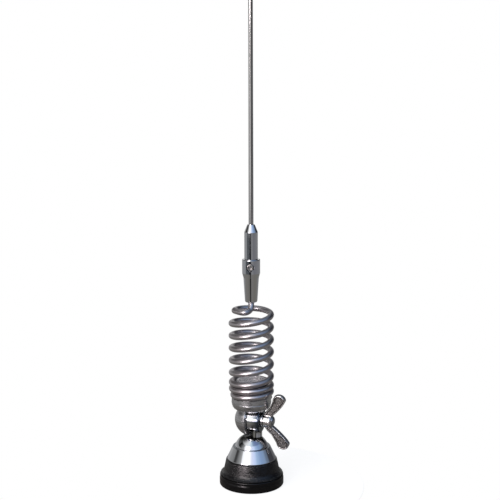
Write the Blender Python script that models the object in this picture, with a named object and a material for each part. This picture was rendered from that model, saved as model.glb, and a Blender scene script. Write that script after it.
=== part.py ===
"""Vehicle VHF whip antenna: screw-on base with a fold-down knuckle, a shock spring and a steel whip.

Metres, +Z up. The origin is the centre of the base's underside, the mast stands along +Z, and the
knuckle's pivot runs along +X towards the wing nut. Heights are stacked from the roof upwards, so a
piece that grows lifts everything that it carries.
"""

import math

import bmesh
import bpy
from mathutils import Matrix, Vector

FIT_GAP = 0.0003

# Base: rubber foot, hand-turned skirt and threaded insert; the skirt's radius leads the others
SKIRT_LOWER_RADIUS = 0.0169
SKIRT_TAPER = 0.0012
SKIRT_BAND_HEIGHT = 0.0055
SKIRT_FLANGE_REACH = 0.0024
SKIRT_FLANGE_HEIGHT = 0.0040
SKIRT_FLANGE_EDGE = 0.0003
SKIRT_FLANGE_HOLLOW = 0.0002
SKIRT_FOOT_INSET = 0.0013
SKIRT_EDGE_ROUND = 0.0006
SKIRT_WEB = 0.0024
GASKET_REACH = 0.0006
GASKET_HEIGHT = 0.0066
GASKET_EDGE_ROUND = 0.0009
GASKET_TOP_ROUND = 0.0005
GASKET_LIP_REACH = 0.0020
GASKET_LIP_THICKNESS = 0.0014
INSERT_BORE_RADIUS = 0.0075
INSERT_WALL = 0.0021
INSERT_HEX_FLATS = 0.0204
INSERT_FLANGE_THICKNESS = 0.0014

# Stud, its retaining parts and the contact
STUD_RADIUS = 0.0040
STUD_GRIP = 0.0045
STUD_CHAMFER = 0.0006
WASHER_THICKNESS = 0.0010
CLIP_THICKNESS = 0.0009
CLIP_WIDTH = 0.0026
CLIP_OPENING_DEG = 70.0
CLIP_GROOVE_DEPTH = 0.0008
STUD_END_LAND = 0.0010
INSULATOR_THICKNESS = 0.0018
PIN_RADIUS = 0.0020
PIN_COLLAR_RADIUS = 0.0030
PIN_COLLAR_THICKNESS = 0.0008
PIN_TIP_HEIGHT = 0.0006
PIN_SHANK_RADIUS = 0.0015
PIN_SHANK_LENGTH = 0.0040

# Bell, and the foot of the knuckle that stands on it
BELL_STEP = 0.0005
BELL_TAPER = 0.0036
BELL_HEIGHT = 0.0077
BELL_WALL = 0.0016
BELL_WEB = 0.0018
NUT_FLATS = 0.0130
NUT_HEIGHT = 0.0040
DOME_STEP = 0.00135
DOME_BULGE = 0.00055
DOME_TOP_RADIUS = 0.0056
NECK_RADIUS = 0.0037
DISC_RADIUS = 0.0077
DISC_THICKNESS = 0.0076
DISC_CHAMFER = 0.0004

# Upper half of the knuckle and the spring's seat
BALL_RADIUS = 0.0103
BALL_LIFT = 0.0008
SPLIT_X = -0.0010
RELIEF_CLEARANCE = 0.0005
CUP_RADIUS = 0.0123
CUP_FLARE_HEIGHT = 0.0028
CUP_RIM_HEIGHT = 0.0027
CUP_ROOT_RADIUS = 0.0074
CUP_ROOT_SUNK = 0.0009
CUP_PULL = 0.91
PLUG_BASE_RADIUS = 0.0086
PLUG_TOP_RADIUS = 0.0098
PLUG_HEIGHT = 0.0134
PLUG_ROUND = 0.0012

# Pivot stud, washer and wing nut
BOLT_RADIUS = 0.0030
BOLT_DEPTH = 0.0072
BOLT_PROTRUSION = 0.0014
NUT_WASHER_RADIUS = 0.0045
NUT_WASHER_THICKNESS = 0.0010
WING_HUB_RADIUS = 0.0043
WING_HUB_LENGTH = 0.0052
WING_THICKNESS = 0.0026
WING_TIP_ROUND = 0.0040
WING_TIP_PAST_CUP = 0.0031
WING_TIP_REACH = 0.0151
WING_OUTER_BOW = 0.20
WING_INNER_BOW = 0.075
WING_BOW_SLANT = -0.3
WING_EDGE_BEVEL = 0.0004
WING_LEAN_DEG = 14.0

# Spring
WIRE_DIAMETER = 0.0037
COIL_RADIUS = 0.01205
COIL_START_RADIUS = 0.0109
COIL_END_RADIUS = 0.0101
COIL_START_DEG = 20.0
COIL_LEAN = 0.0007
CLOSED_PITCH = 0.0040
OPEN_PITCH = 0.00775
CLOSED_TURNS = 2.5
BLEND_TURNS = 0.5
OPEN_TURNS = 5.5
NARROWING_TURNS = 0.45
TAIL_LENGTH = 0.0135

# Whip holder, ferrule and whip
HOLDER_LIFT = 0.0048
HOLDER_FOOT_RADIUS = 0.00375
HOLDER_NECK_RADIUS = 0.0047
HOLDER_TAPER_HEIGHT = 0.0153
HOLDER_FOOT_ROUND = 0.0010
COLLAR_RADIUS = 0.00545
COLLAR_SHOULDER_HEIGHT = 0.0027
COLLAR_HEIGHT = 0.0082
COLLAR_CHAMFER = 0.0004
SHANK_RADIUS = 0.0027
SHANK_LENGTH = 0.0098
GRUB_RADIUS = 0.0021
GRUB_SUNK = 0.0005
GRUB_HEX_FLATS = 0.0020
GRUB_HEX_DEPTH = 0.0012
GRUB_BEARING_DEG = -77.0
FERRULE_RADIUS = 0.0041
FERRULE_HEIGHT = 0.0163
FERRULE_CONE_HEIGHT = 0.0046
FERRULE_LIP = 0.0004
FERRULE_FLOOR = 0.0040
WHIP_BASE_RADIUS = 0.00150
WHIP_TIP_RADIUS = 0.00115
WHIP_LENGTH = 0.3430

# Radii, heights and places that follow from the sizes above
SKIRT_TOP_RADIUS = SKIRT_LOWER_RADIUS - SKIRT_TAPER
SKIRT_FLANGE_RADIUS = SKIRT_LOWER_RADIUS + SKIRT_FLANGE_REACH
SKIRT_FOOT_RADIUS = SKIRT_LOWER_RADIUS - SKIRT_FOOT_INSET
GASKET_RADIUS = SKIRT_FLANGE_RADIUS + GASKET_REACH
GASKET_LIP_RADIUS = SKIRT_FOOT_RADIUS - GASKET_LIP_REACH
BELL_BASE_RADIUS = SKIRT_TOP_RADIUS - BELL_STEP
BELL_TOP_RADIUS = BELL_BASE_RADIUS - BELL_TAPER
DOME_BASE_RADIUS = BELL_TOP_RADIUS - DOME_STEP
DOME_RADIUS = DOME_BASE_RADIUS + DOME_BULGE
SKIRT_FOOT_Z = GASKET_LIP_THICKNESS + FIT_GAP
SKIRT_FLANGE_Z = GASKET_HEIGHT + FIT_GAP
SKIRT_SHOULDER_Z = SKIRT_FLANGE_Z + SKIRT_FLANGE_HEIGHT
SKIRT_TOP_Z = SKIRT_SHOULDER_Z + SKIRT_BAND_HEIGHT
SKIRT_WEB_Z = SKIRT_TOP_Z - SKIRT_WEB
INSERT_FOOT_Z = SKIRT_FOOT_Z + FIT_GAP
INSERT_RADIUS = INSERT_BORE_RADIUS + INSERT_WALL
WASHER_Z = SKIRT_WEB_Z - FIT_GAP - WASHER_THICKNESS
CLIP_Z = WASHER_Z - FIT_GAP - CLIP_THICKNESS
STUD_FOOT_Z = CLIP_Z - FIT_GAP - STUD_END_LAND
INSULATOR_Z = STUD_FOOT_Z - FIT_GAP - INSULATOR_THICKNESS
PIN_COLLAR_Z = INSULATOR_Z - FIT_GAP - PIN_COLLAR_THICKNESS
BELL_Z = SKIRT_TOP_Z + FIT_GAP
BELL_TOP_Z = BELL_Z + BELL_HEIGHT
BELL_WEB_Z = BELL_TOP_Z - BELL_WEB
DOME_Z = BELL_TOP_Z + FIT_GAP
DOME_CENTRE_Z = DOME_Z - math.sqrt(DOME_RADIUS**2 - DOME_BASE_RADIUS**2)
DOME_TOP_Z = DOME_CENTRE_Z + math.sqrt(DOME_RADIUS**2 - DOME_TOP_RADIUS**2)
HINGE_Z = DOME_TOP_Z + BALL_LIFT + BALL_RADIUS
DISC_X = SPLIT_X + FIT_GAP
DISC_OUTER_X = DISC_X + DISC_THICKNESS
NECK_X = DISC_X + DISC_THICKNESS / 2
NUT_WASHER_X = DISC_OUTER_X + FIT_GAP
WING_HUB_X = NUT_WASHER_X + NUT_WASHER_THICKNESS + FIT_GAP
WING_HUB_END_X = WING_HUB_X + WING_HUB_LENGTH
BOLT_END_X = WING_HUB_END_X + BOLT_PROTRUSION
CUP_ROOT_Z = HINGE_Z + math.sqrt(BALL_RADIUS**2 - CUP_ROOT_RADIUS**2)
CUP_ROOT_Z -= CUP_ROOT_SUNK
CUP_RIM_Z = CUP_ROOT_Z + CUP_FLARE_HEIGHT
CUP_TOP_Z = CUP_RIM_Z + CUP_RIM_HEIGHT
COIL_Z = CUP_TOP_Z + FIT_GAP + WIRE_DIAMETER / 2
COIL_TURNS = CLOSED_TURNS + BLEND_TURNS + OPEN_TURNS
COIL_HEIGHT = (
    CLOSED_TURNS * CLOSED_PITCH
    + BLEND_TURNS * (CLOSED_PITCH + OPEN_PITCH) / 2
    + OPEN_TURNS * OPEN_PITCH
)
HOLDER_Z = COIL_Z + COIL_HEIGHT + HOLDER_LIFT
COLLAR_SHOULDER_Z = HOLDER_Z + HOLDER_TAPER_HEIGHT
COLLAR_Z = COLLAR_SHOULDER_Z + COLLAR_SHOULDER_HEIGHT
HOLDER_TOP_Z = COLLAR_Z + COLLAR_HEIGHT + COLLAR_CHAMFER
GRUB_Z = COLLAR_Z + COLLAR_HEIGHT / 2
FERRULE_Z = HOLDER_TOP_Z + FIT_GAP
FERRULE_CONE_Z = FERRULE_Z + FERRULE_HEIGHT
FERRULE_TOP_Z = FERRULE_CONE_Z + FERRULE_CONE_HEIGHT
WHIP_Z = FERRULE_Z + FERRULE_FLOOR + FIT_GAP

# Facets round each kind of piece
WIDE_SEGMENTS = 40
MIDDLE_SEGMENTS = 32
SMALL_SEGMENTS = 20
WIRE_POINTS_PER_TURN = 20
HOOK_POINTS = 14

FULL_TURN = 2 * math.pi
PAST = 0.001


def clear_scene():
    """Start from an empty scene."""
    for obj in list(bpy.data.objects):
        bpy.data.objects.remove(obj, do_unlink=True)


def principled(name, colour, roughness, metallic):
    """A material with one Principled BSDF."""
    material = bpy.data.materials.new(name)
    material.use_nodes = True
    shader = material.node_tree.nodes["Principled BSDF"]
    shader.inputs["Base Color"].default_value = (*colour, 1.0)
    shader.inputs["Roughness"].default_value = roughness
    shader.inputs["Metallic"].default_value = metallic
    return material


def arc(centre, radii, start_deg, end_deg, steps):
    """Points of an elliptical arc, both ends included, in an outline's own plane."""
    points = []
    for step in range(steps + 1):
        angle = math.radians(start_deg + (end_deg - start_deg) * step / steps)
        points.append(
            (
                centre[0] + radii[0] * math.cos(angle),
                centre[1] + radii[1] * math.sin(angle),
            )
        )
    return points


def bow(start, pull, end, steps):
    """Points of a quadratic curve from start to end that leans towards pull."""
    points = []
    for step in range(steps + 1):
        t = step / steps
        weights = ((1 - t) ** 2, 2 * t * (1 - t), t**2)
        points.append(
            tuple(
                weights[0] * a + weights[1] * b + weights[2] * c
                for a, b, c in zip(start, pull, end)
            )
        )
    return points


def add_mesh(name, bm, material=None):
    """Put a bmesh into the scene as a named object."""
    bmesh.ops.remove_doubles(bm, verts=bm.verts[:], dist=1e-7)
    bmesh.ops.recalc_face_normals(bm, faces=bm.faces[:])
    mesh = bpy.data.meshes.new(name)
    bm.to_mesh(mesh)
    bm.free()
    mesh.shade_smooth()
    mesh.set_sharp_from_angle(angle=math.radians(32))
    obj = bpy.data.objects.new(name, mesh)
    bpy.context.collection.objects.link(obj)
    if material:
        mesh.materials.append(material)
    return obj


def turned(name, outline, segments, material=None, along_x=False, sweep_deg=360.0):
    """Turn a closed outline of (radius, height) points round +Z, or round the pivot's +X."""
    bm = bmesh.new()
    verts = [bm.verts.new((radius, 0.0, height)) for radius, height in outline]
    loop = [bm.edges.new((a, b)) for a, b in zip(verts, verts[1:] + verts[:1])]
    whole = sweep_deg >= 360.0
    if not whole:
        bm.faces.new(verts)
    spun = bmesh.ops.spin(
        bm,
        geom=verts + loop,
        axis=(0.0, 0.0, 1.0),
        cent=(0.0, 0.0, 0.0),
        angle=math.radians(sweep_deg),
        steps=segments,
        use_merge=False,
        use_duplicate=False,
    )
    if not whole:
        bm.faces.new([v for v in spun["geom_last"] if isinstance(v, bmesh.types.BMVert)])
    bmesh.ops.remove_doubles(bm, verts=bm.verts[:], dist=1e-7)
    flat = [f for f in bm.faces if f.calc_area() < 1e-14]
    bmesh.ops.delete(bm, geom=flat, context="FACES_ONLY")
    if along_x:
        lie_down = Matrix.Rotation(math.pi / 2, 4, "Y")
        bmesh.ops.transform(
            bm, matrix=Matrix.Translation((0, 0, HINGE_Z)) @ lie_down, verts=bm.verts[:]
        )
    return add_mesh(name, bm, material)


def hex_bar(name, flats, bottom, top):
    """A plain hexagonal bar along +Z, used to trim round blanks and to cut sockets."""
    outline = arc((0, 0), (flats / 2 / math.cos(math.pi / 6),) * 2, 0, 300, 5)
    return bar(name, outline, bottom, top)


def bar(name, outline, bottom, top, material=None):
    """A straight bar with the given outline in XY."""
    bm = bmesh.new()
    base = bm.faces.new([bm.verts.new((x, y, bottom)) for x, y in outline])
    sides = bmesh.ops.extrude_face_region(bm, geom=[base])
    lifted = [v for v in sides["geom"] if isinstance(v, bmesh.types.BMVert)]
    bmesh.ops.translate(bm, verts=lifted, vec=(0, 0, top - bottom))
    return add_mesh(name, bm, material)


def combine(target, other, operation):
    """Join, cut or trim a piece with a guide body that isn't a piece itself."""
    modifier = target.modifiers.new(other.name, "BOOLEAN")
    modifier.object = other
    modifier.operation = operation
    other.hide_render = True
    other.display_type = "WIRE"


def rod(name, radius, bottom, top, segments, along_x=False):
    """A plain round cutter or blank."""
    outline = [(0, bottom), (radius, bottom), (radius, top), (0, top)]
    return turned(name, outline, segments, along_x=along_x)


def make_rubber_gasket(material):
    """Roof gasket: a thick rubber ring with rounded edges and a lip under the skirt's foot."""
    inner = SKIRT_FOOT_RADIUS + FIT_GAP
    outline = [(GASKET_LIP_RADIUS, 0.0)]
    edge = (GASKET_RADIUS - GASKET_EDGE_ROUND, GASKET_EDGE_ROUND)
    outline += arc(edge, (GASKET_EDGE_ROUND,) * 2, -90, 0, 4)
    top_edge = (GASKET_RADIUS - GASKET_TOP_ROUND, GASKET_HEIGHT - GASKET_TOP_ROUND)
    outline += arc(top_edge, (GASKET_TOP_ROUND,) * 2, 0, 90, 3)
    outline += [
        (inner, GASKET_HEIGHT),
        (inner, GASKET_LIP_THICKNESS),
        (GASKET_LIP_RADIUS, GASKET_LIP_THICKNESS),
    ]
    turned("rubber_gasket", outline, WIDE_SEGMENTS, material)


def make_grip_skirt(material):
    """Hand-turned skirt: a band over a flared flange, a web on top, and a foot in the gasket."""
    pocket = INSERT_RADIUS + FIT_GAP
    round_centre = (SKIRT_TOP_RADIUS - SKIRT_EDGE_ROUND, SKIRT_TOP_Z - SKIRT_EDGE_ROUND)
    outline = [
        (pocket, SKIRT_FOOT_Z),
        (SKIRT_FOOT_RADIUS, SKIRT_FOOT_Z),
        (SKIRT_FOOT_RADIUS, SKIRT_FLANGE_Z),
        (SKIRT_FLANGE_RADIUS, SKIRT_FLANGE_Z),
    ]
    rim = (SKIRT_FLANGE_RADIUS, SKIRT_FLANGE_Z + SKIRT_FLANGE_EDGE)
    shoulder = (SKIRT_LOWER_RADIUS, SKIRT_SHOULDER_Z)
    hollow = tuple((a + b) / 2 - SKIRT_FLANGE_HOLLOW for a, b in zip(rim, shoulder))
    outline += bow(rim, hollow, shoulder, 5)
    outline += arc(round_centre, (SKIRT_EDGE_ROUND,) * 2, 0, 90, 3)
    outline += [
        (STUD_RADIUS + FIT_GAP, SKIRT_TOP_Z),
        (STUD_RADIUS + FIT_GAP, SKIRT_WEB_Z),
        (pocket, SKIRT_WEB_Z),
    ]
    skirt = turned("grip_skirt", outline, WIDE_SEGMENTS, material)
    flange_top = INSERT_FOOT_Z + INSERT_FLANGE_THICKNESS + FIT_GAP
    seat = hex_bar(
        "hex_seat_cutter", INSERT_HEX_FLATS + 2 * FIT_GAP, SKIRT_FOOT_Z - PAST, flange_top
    )
    combine(skirt, seat, "DIFFERENCE")


def make_thread_insert(material):
    """Brass coupling insert: a plain sleeve whose hexagonal flange keeps it from turning."""
    corner = INSERT_HEX_FLATS / 2 / math.cos(math.pi / 6)
    flange_top = INSERT_FOOT_Z + INSERT_FLANGE_THICKNESS
    sleeve_top = SKIRT_WEB_Z - FIT_GAP
    lead_in = INSERT_WALL / 4
    outline = [
        (INSERT_BORE_RADIUS + lead_in, INSERT_FOOT_Z),
        (corner, INSERT_FOOT_Z),
        (corner, flange_top),
        (INSERT_RADIUS, flange_top),
        (INSERT_RADIUS, sleeve_top),
        (INSERT_BORE_RADIUS, sleeve_top),
        (INSERT_BORE_RADIUS, INSERT_FOOT_Z + lead_in),
    ]
    insert = turned("thread_insert", outline, WIDE_SEGMENTS, material)
    trim = hex_bar("hex_flange_trim", INSERT_HEX_FLATS, INSERT_FOOT_Z - PAST, sleeve_top + PAST)
    combine(insert, trim, "INTERSECT")


def make_foot_stud(material):
    """Stud that carries the foot: a clip groove below, and a socket for the contact's shank."""
    top = DOME_Z + STUD_GRIP
    groove = STUD_RADIUS - CLIP_GROOVE_DEPTH
    socket = PIN_SHANK_RADIUS + FIT_GAP
    outline = [
        (socket, STUD_FOOT_Z),
        (STUD_RADIUS, STUD_FOOT_Z),
        (STUD_RADIUS, CLIP_Z - FIT_GAP),
        (groove, CLIP_Z - FIT_GAP),
        (groove, CLIP_Z + CLIP_THICKNESS + FIT_GAP),
        (STUD_RADIUS, CLIP_Z + CLIP_THICKNESS + FIT_GAP),
        (STUD_RADIUS, top - STUD_CHAMFER),
        (STUD_RADIUS - STUD_CHAMFER, top),
        (0, top),
        (0, STUD_FOOT_Z + PIN_SHANK_LENGTH),
        (socket, STUD_FOOT_Z + PIN_SHANK_LENGTH),
    ]
    turned("foot_stud", outline, SMALL_SEGMENTS, material)


def make_retaining_washer(material):
    """Washer under the skirt's web, between the web and the clip."""
    inner = STUD_RADIUS + FIT_GAP
    outer = INSERT_BORE_RADIUS - FIT_GAP
    outline = [
        (inner, WASHER_Z),
        (outer, WASHER_Z),
        (outer, WASHER_Z + WASHER_THICKNESS),
        (inner, WASHER_Z + WASHER_THICKNESS),
    ]
    turned("retaining_washer", outline, MIDDLE_SEGMENTS, material)


def make_retaining_clip(material):
    """Open spring clip in the stud's groove."""
    inner = STUD_RADIUS - CLIP_GROOVE_DEPTH + FIT_GAP
    outer = inner + CLIP_WIDTH
    outline = [
        (inner, CLIP_Z),
        (outer, CLIP_Z),
        (outer, CLIP_Z + CLIP_THICKNESS),
        (inner, CLIP_Z + CLIP_THICKNESS),
    ]
    sweep = 360.0 - CLIP_OPENING_DEG
    turned("retaining_clip", outline, SMALL_SEGMENTS, material, sweep_deg=sweep)


def make_pin_insulator(material):
    """Insulating disc that centres the contact in the coupling's bore."""
    inner = PIN_RADIUS + FIT_GAP
    outer = INSERT_BORE_RADIUS - FIT_GAP
    top = INSULATOR_Z + INSULATOR_THICKNESS
    outline = [
        (inner, INSULATOR_Z),
        (outer - FIT_GAP, INSULATOR_Z),
        (outer, INSULATOR_Z + FIT_GAP),
        (outer, top),
        (inner, top),
    ]
    turned("pin_insulator", outline, MIDDLE_SEGMENTS, material)


def make_contact_pin(material):
    """Centre contact: a rounded pin with a collar under the insulator and a shank in the stud."""
    shank_foot = STUD_FOOT_Z + FIT_GAP
    outline = [(0, PIN_TIP_HEIGHT)]
    outline += arc((PIN_RADIUS / 2, PIN_TIP_HEIGHT + PIN_RADIUS / 2), (PIN_RADIUS / 2,) * 2, -90, 0, 4)
    outline += [
        (PIN_RADIUS, PIN_COLLAR_Z),
        (PIN_COLLAR_RADIUS, PIN_COLLAR_Z),
        (PIN_COLLAR_RADIUS, PIN_COLLAR_Z + PIN_COLLAR_THICKNESS),
        (PIN_RADIUS, PIN_COLLAR_Z + PIN_COLLAR_THICKNESS),
        (PIN_RADIUS, STUD_FOOT_Z - FIT_GAP),
        (PIN_SHANK_RADIUS, STUD_FOOT_Z - FIT_GAP),
        (PIN_SHANK_RADIUS, shank_foot + PIN_SHANK_LENGTH - 2 * FIT_GAP),
        (0, shank_foot + PIN_SHANK_LENGTH - 2 * FIT_GAP),
    ]
    turned("contact_pin", outline, SMALL_SEGMENTS, material)


def make_base_bell(material):
    """Chromed bell: a thin cone with a flat web on top that the stud passes through."""
    slope = (BELL_BASE_RADIUS - BELL_TOP_RADIUS) / BELL_HEIGHT
    inner_top = BELL_BASE_RADIUS - BELL_WALL - slope * (BELL_WEB_Z - BELL_Z)
    outline = [
        (BELL_BASE_RADIUS - BELL_WALL, BELL_Z),
        (BELL_BASE_RADIUS - FIT_GAP, BELL_Z),
        (BELL_BASE_RADIUS, BELL_Z + FIT_GAP),
        (BELL_TOP_RADIUS, BELL_TOP_Z - FIT_GAP),
        (BELL_TOP_RADIUS - FIT_GAP, BELL_TOP_Z),
        (STUD_RADIUS + FIT_GAP, BELL_TOP_Z),
        (STUD_RADIUS + FIT_GAP, BELL_WEB_Z),
        (inner_top, BELL_WEB_Z),
    ]
    turned("base_bell", outline, WIDE_SEGMENTS, material)


def make_bell_nut(material):
    """Hexagonal nut that clamps the bell up against the knuckle's foot."""
    top = BELL_WEB_Z - FIT_GAP
    bottom = top - NUT_HEIGHT
    bore = STUD_RADIUS + FIT_GAP
    corner = NUT_FLATS / 2 / math.cos(math.pi / 6)
    bevel = corner - NUT_FLATS / 2
    outline = [
        (bore, bottom),
        (NUT_FLATS / 2, bottom),
        (corner, bottom + bevel / 2),
        (corner, top),
        (bore, top),
    ]
    nut = turned("bell_nut", outline, MIDDLE_SEGMENTS, material)
    trim = hex_bar("nut_flats_trim", NUT_FLATS, bottom - PAST, top + PAST)
    combine(nut, trim, "INTERSECT")


def make_hinge_foot(material):
    """Knuckle's lower half: a dome on the bell, an offset round neck, and the pivot disc."""
    low = math.degrees(math.asin((DOME_Z - DOME_CENTRE_Z) / DOME_RADIUS))
    high = math.degrees(math.asin((DOME_TOP_Z - DOME_CENTRE_Z) / DOME_RADIUS))
    outline = [(0, DOME_Z)]
    outline += arc((0, DOME_CENTRE_Z), (DOME_RADIUS,) * 2, low, high, 6)
    outline += [(0, DOME_TOP_Z)]
    foot = turned("hinge_foot", outline, WIDE_SEGMENTS, material)

    neck_foot = DOME_Z + (DOME_TOP_Z - DOME_Z) * 0.3
    neck = rod("neck_blank", NECK_RADIUS, neck_foot, HINGE_Z, SMALL_SEGMENTS)
    neck.data.transform(Matrix.Translation((NECK_X, 0, 0)))
    combine(foot, neck, "UNION")

    disc_outline = [
        (0, DISC_X),
        (DISC_RADIUS - DISC_CHAMFER, DISC_X),
        (DISC_RADIUS, DISC_X + DISC_CHAMFER),
        (DISC_RADIUS, DISC_OUTER_X - DISC_CHAMFER),
        (DISC_RADIUS - DISC_CHAMFER, DISC_OUTER_X),
        (0, DISC_OUTER_X),
    ]
    disc = turned("disc_blank", disc_outline, WIDE_SEGMENTS, along_x=True)
    combine(foot, disc, "UNION")

    bore = BOLT_RADIUS + FIT_GAP
    pivot = rod("pivot_bore", bore, DISC_X - PAST, DISC_OUTER_X + PAST, SMALL_SEGMENTS, True)
    combine(foot, pivot, "DIFFERENCE")
    tapping = rod(
        "stud_bore",
        STUD_RADIUS + FIT_GAP,
        DOME_Z - PAST,
        DOME_Z + STUD_GRIP + FIT_GAP,
        SMALL_SEGMENTS,
    )
    combine(foot, tapping, "DIFFERENCE")


def make_ball_cup(material):
    """Knuckle's upper half: a half ball, the spring's cup, and the plug that the coil grips."""
    outline = [(0, CUP_ROOT_Z)]
    outline += bow(
        (CUP_ROOT_RADIUS, CUP_ROOT_Z),
        (CUP_RADIUS * CUP_PULL, CUP_ROOT_Z + CUP_FLARE_HEIGHT * 0.25),
        (CUP_RADIUS, CUP_RIM_Z),
        5,
    )
    outline += [
        (CUP_RADIUS, CUP_TOP_Z - FIT_GAP),
        (CUP_RADIUS - FIT_GAP, CUP_TOP_Z),
        (PLUG_BASE_RADIUS, CUP_TOP_Z),
    ]
    plug_top = CUP_TOP_Z + PLUG_HEIGHT
    plug_round = (PLUG_TOP_RADIUS - PLUG_ROUND, plug_top - PLUG_ROUND)
    outline += arc(plug_round, (PLUG_ROUND,) * 2, 0, 90, 3)
    outline += [(0, plug_top)]
    cup = turned("ball_cup", outline, WIDE_SEGMENTS, material)

    relief_radius = DISC_RADIUS + RELIEF_CLEARANCE
    relief = rod(
        "disc_relief", relief_radius, SPLIT_X - PAST, CUP_RADIUS + PAST, WIDE_SEGMENTS, along_x=True
    )
    combine(cup, relief, "DIFFERENCE")

    edge = math.degrees(math.asin(SPLIT_X / BALL_RADIUS))
    half_ball = arc((0, 0), (BALL_RADIUS,) * 2, -90, edge, 9) + [(0, SPLIT_X)]
    ball = turned("half_ball_blank", half_ball, WIDE_SEGMENTS, along_x=True)
    combine(cup, ball, "UNION")

    socket = rod(
        "stud_socket",
        BOLT_RADIUS + FIT_GAP,
        SPLIT_X - BOLT_DEPTH - FIT_GAP,
        SPLIT_X + PAST,
        SMALL_SEGMENTS,
        along_x=True,
    )
    combine(cup, socket, "DIFFERENCE")


def make_hinge_bolt(material):
    """Pivot stud, screwed into the half ball, with a domed outer end."""
    dome = BOLT_RADIUS / 3
    outline = [(0, SPLIT_X - BOLT_DEPTH), (BOLT_RADIUS, SPLIT_X - BOLT_DEPTH)]
    outline += arc((0, BOLT_END_X - dome), (BOLT_RADIUS, dome), 0, 90, 4)
    turned("hinge_bolt", outline, SMALL_SEGMENTS, material, along_x=True)


def make_nut_washer(material):
    """Plain washer between the pivot disc and the wing nut."""
    inner = BOLT_RADIUS + FIT_GAP
    outline = [
        (inner, NUT_WASHER_X),
        (NUT_WASHER_RADIUS, NUT_WASHER_X),
        (NUT_WASHER_RADIUS, NUT_WASHER_X + NUT_WASHER_THICKNESS),
        (inner, NUT_WASHER_X + NUT_WASHER_THICKNESS),
    ]
    turned("nut_washer", outline, MIDDLE_SEGMENTS, material, along_x=True)


def wing_outline():
    """One wing in (x, radius): it leaves the hub, flares outwards and ends in a round tip."""
    tip = (CUP_RADIUS + WING_TIP_PAST_CUP + WING_TIP_ROUND, WING_TIP_REACH)
    root_depth = WING_HUB_RADIUS * 0.8
    inner_root = (WING_HUB_X + WING_HUB_LENGTH * 0.1, root_depth)
    outer_root = (WING_HUB_END_X - WING_HUB_LENGTH * 0.05, root_depth)
    inner_side = (tip[0] - WING_TIP_ROUND, tip[1])
    outer_side = (tip[0] + WING_TIP_ROUND, tip[1])

    def pulled(start, end, edge_bow):
        """The middle of an edge, moved outwards along the pivot by the edge's bow."""
        reach = end[1] - start[1]
        return (
            (start[0] + end[0]) / 2 + reach * edge_bow,
            (start[1] + end[1]) / 2 - reach * edge_bow * WING_BOW_SLANT,
        )

    outline = bow(inner_root, pulled(inner_root, inner_side, WING_INNER_BOW), inner_side, 6)
    outline += arc(tip, (WING_TIP_ROUND,) * 2, 180, 0, 10)[1:-1]
    outline += bow(outer_side, pulled(outer_root, outer_side, WING_OUTER_BOW), outer_root, 6)
    return outline


def make_wing_nut(material):
    """Wing nut: a tapered hub with two flat wings on opposite sides."""
    bore = BOLT_RADIUS + FIT_GAP
    taper = WING_HUB_RADIUS * 0.1
    outline = [
        (bore, WING_HUB_X),
        (WING_HUB_RADIUS, WING_HUB_X),
        (WING_HUB_RADIUS - taper, WING_HUB_END_X - taper),
        (WING_HUB_RADIUS - 2 * taper, WING_HUB_END_X),
        (bore, WING_HUB_END_X),
    ]
    nut = turned("wing_nut", outline, SMALL_SEGMENTS + 4, material, along_x=True)
    for index, side_deg in enumerate((0.0, 180.0)):
        wing = bar(
            f"wing_blank_{index + 1}", wing_outline(), -WING_THICKNESS / 2, WING_THICKNESS / 2
        )
        bevel = wing.modifiers.new("edges", "BEVEL")
        bevel.width = WING_EDGE_BEVEL
        bevel.segments = 1
        bevel.limit_method = "ANGLE"
        bevel.angle_limit = math.radians(60)
        stand = Matrix.Rotation(math.pi / 2, 4, "X")
        lean = Matrix.Rotation(math.radians(WING_LEAN_DEG + side_deg), 4, "X")
        wing.data.transform(Matrix.Translation((0, 0, HINGE_Z)) @ lean @ stand)
        combine(nut, wing, "UNION")
    bolt_way = rod(
        "nut_bore", bore, WING_HUB_X - PAST, WING_HUB_END_X + PAST, SMALL_SEGMENTS + 4, True
    )
    combine(nut, bolt_way, "DIFFERENCE")


def coil_point(turn):
    """A point on the coil's centre line after so many turns from its lower end."""
    closed = min(turn, CLOSED_TURNS)
    blend = min(max(turn - CLOSED_TURNS, 0.0), BLEND_TURNS)
    opened = max(turn - CLOSED_TURNS - BLEND_TURNS, 0.0)
    gain = (OPEN_PITCH - CLOSED_PITCH) / BLEND_TURNS
    height = closed * CLOSED_PITCH + opened * OPEN_PITCH
    height += blend * CLOSED_PITCH + gain * blend**2 / 2

    radius = COIL_RADIUS
    if turn < 1.0:
        radius = COIL_START_RADIUS + (COIL_RADIUS - COIL_START_RADIUS) * turn**2
    left = COIL_TURNS - turn
    if left < NARROWING_TURNS:
        share = 1.0 - left / NARROWING_TURNS
        radius += (COIL_END_RADIUS - COIL_RADIUS) * share**2

    lean = COIL_LEAN * math.cos(turn * FULL_TURN) * blend / BLEND_TURNS
    angle = turn * FULL_TURN + math.radians(COIL_START_DEG)
    return Vector((radius * math.cos(angle), radius * math.sin(angle), COIL_Z + height + lean))


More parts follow.
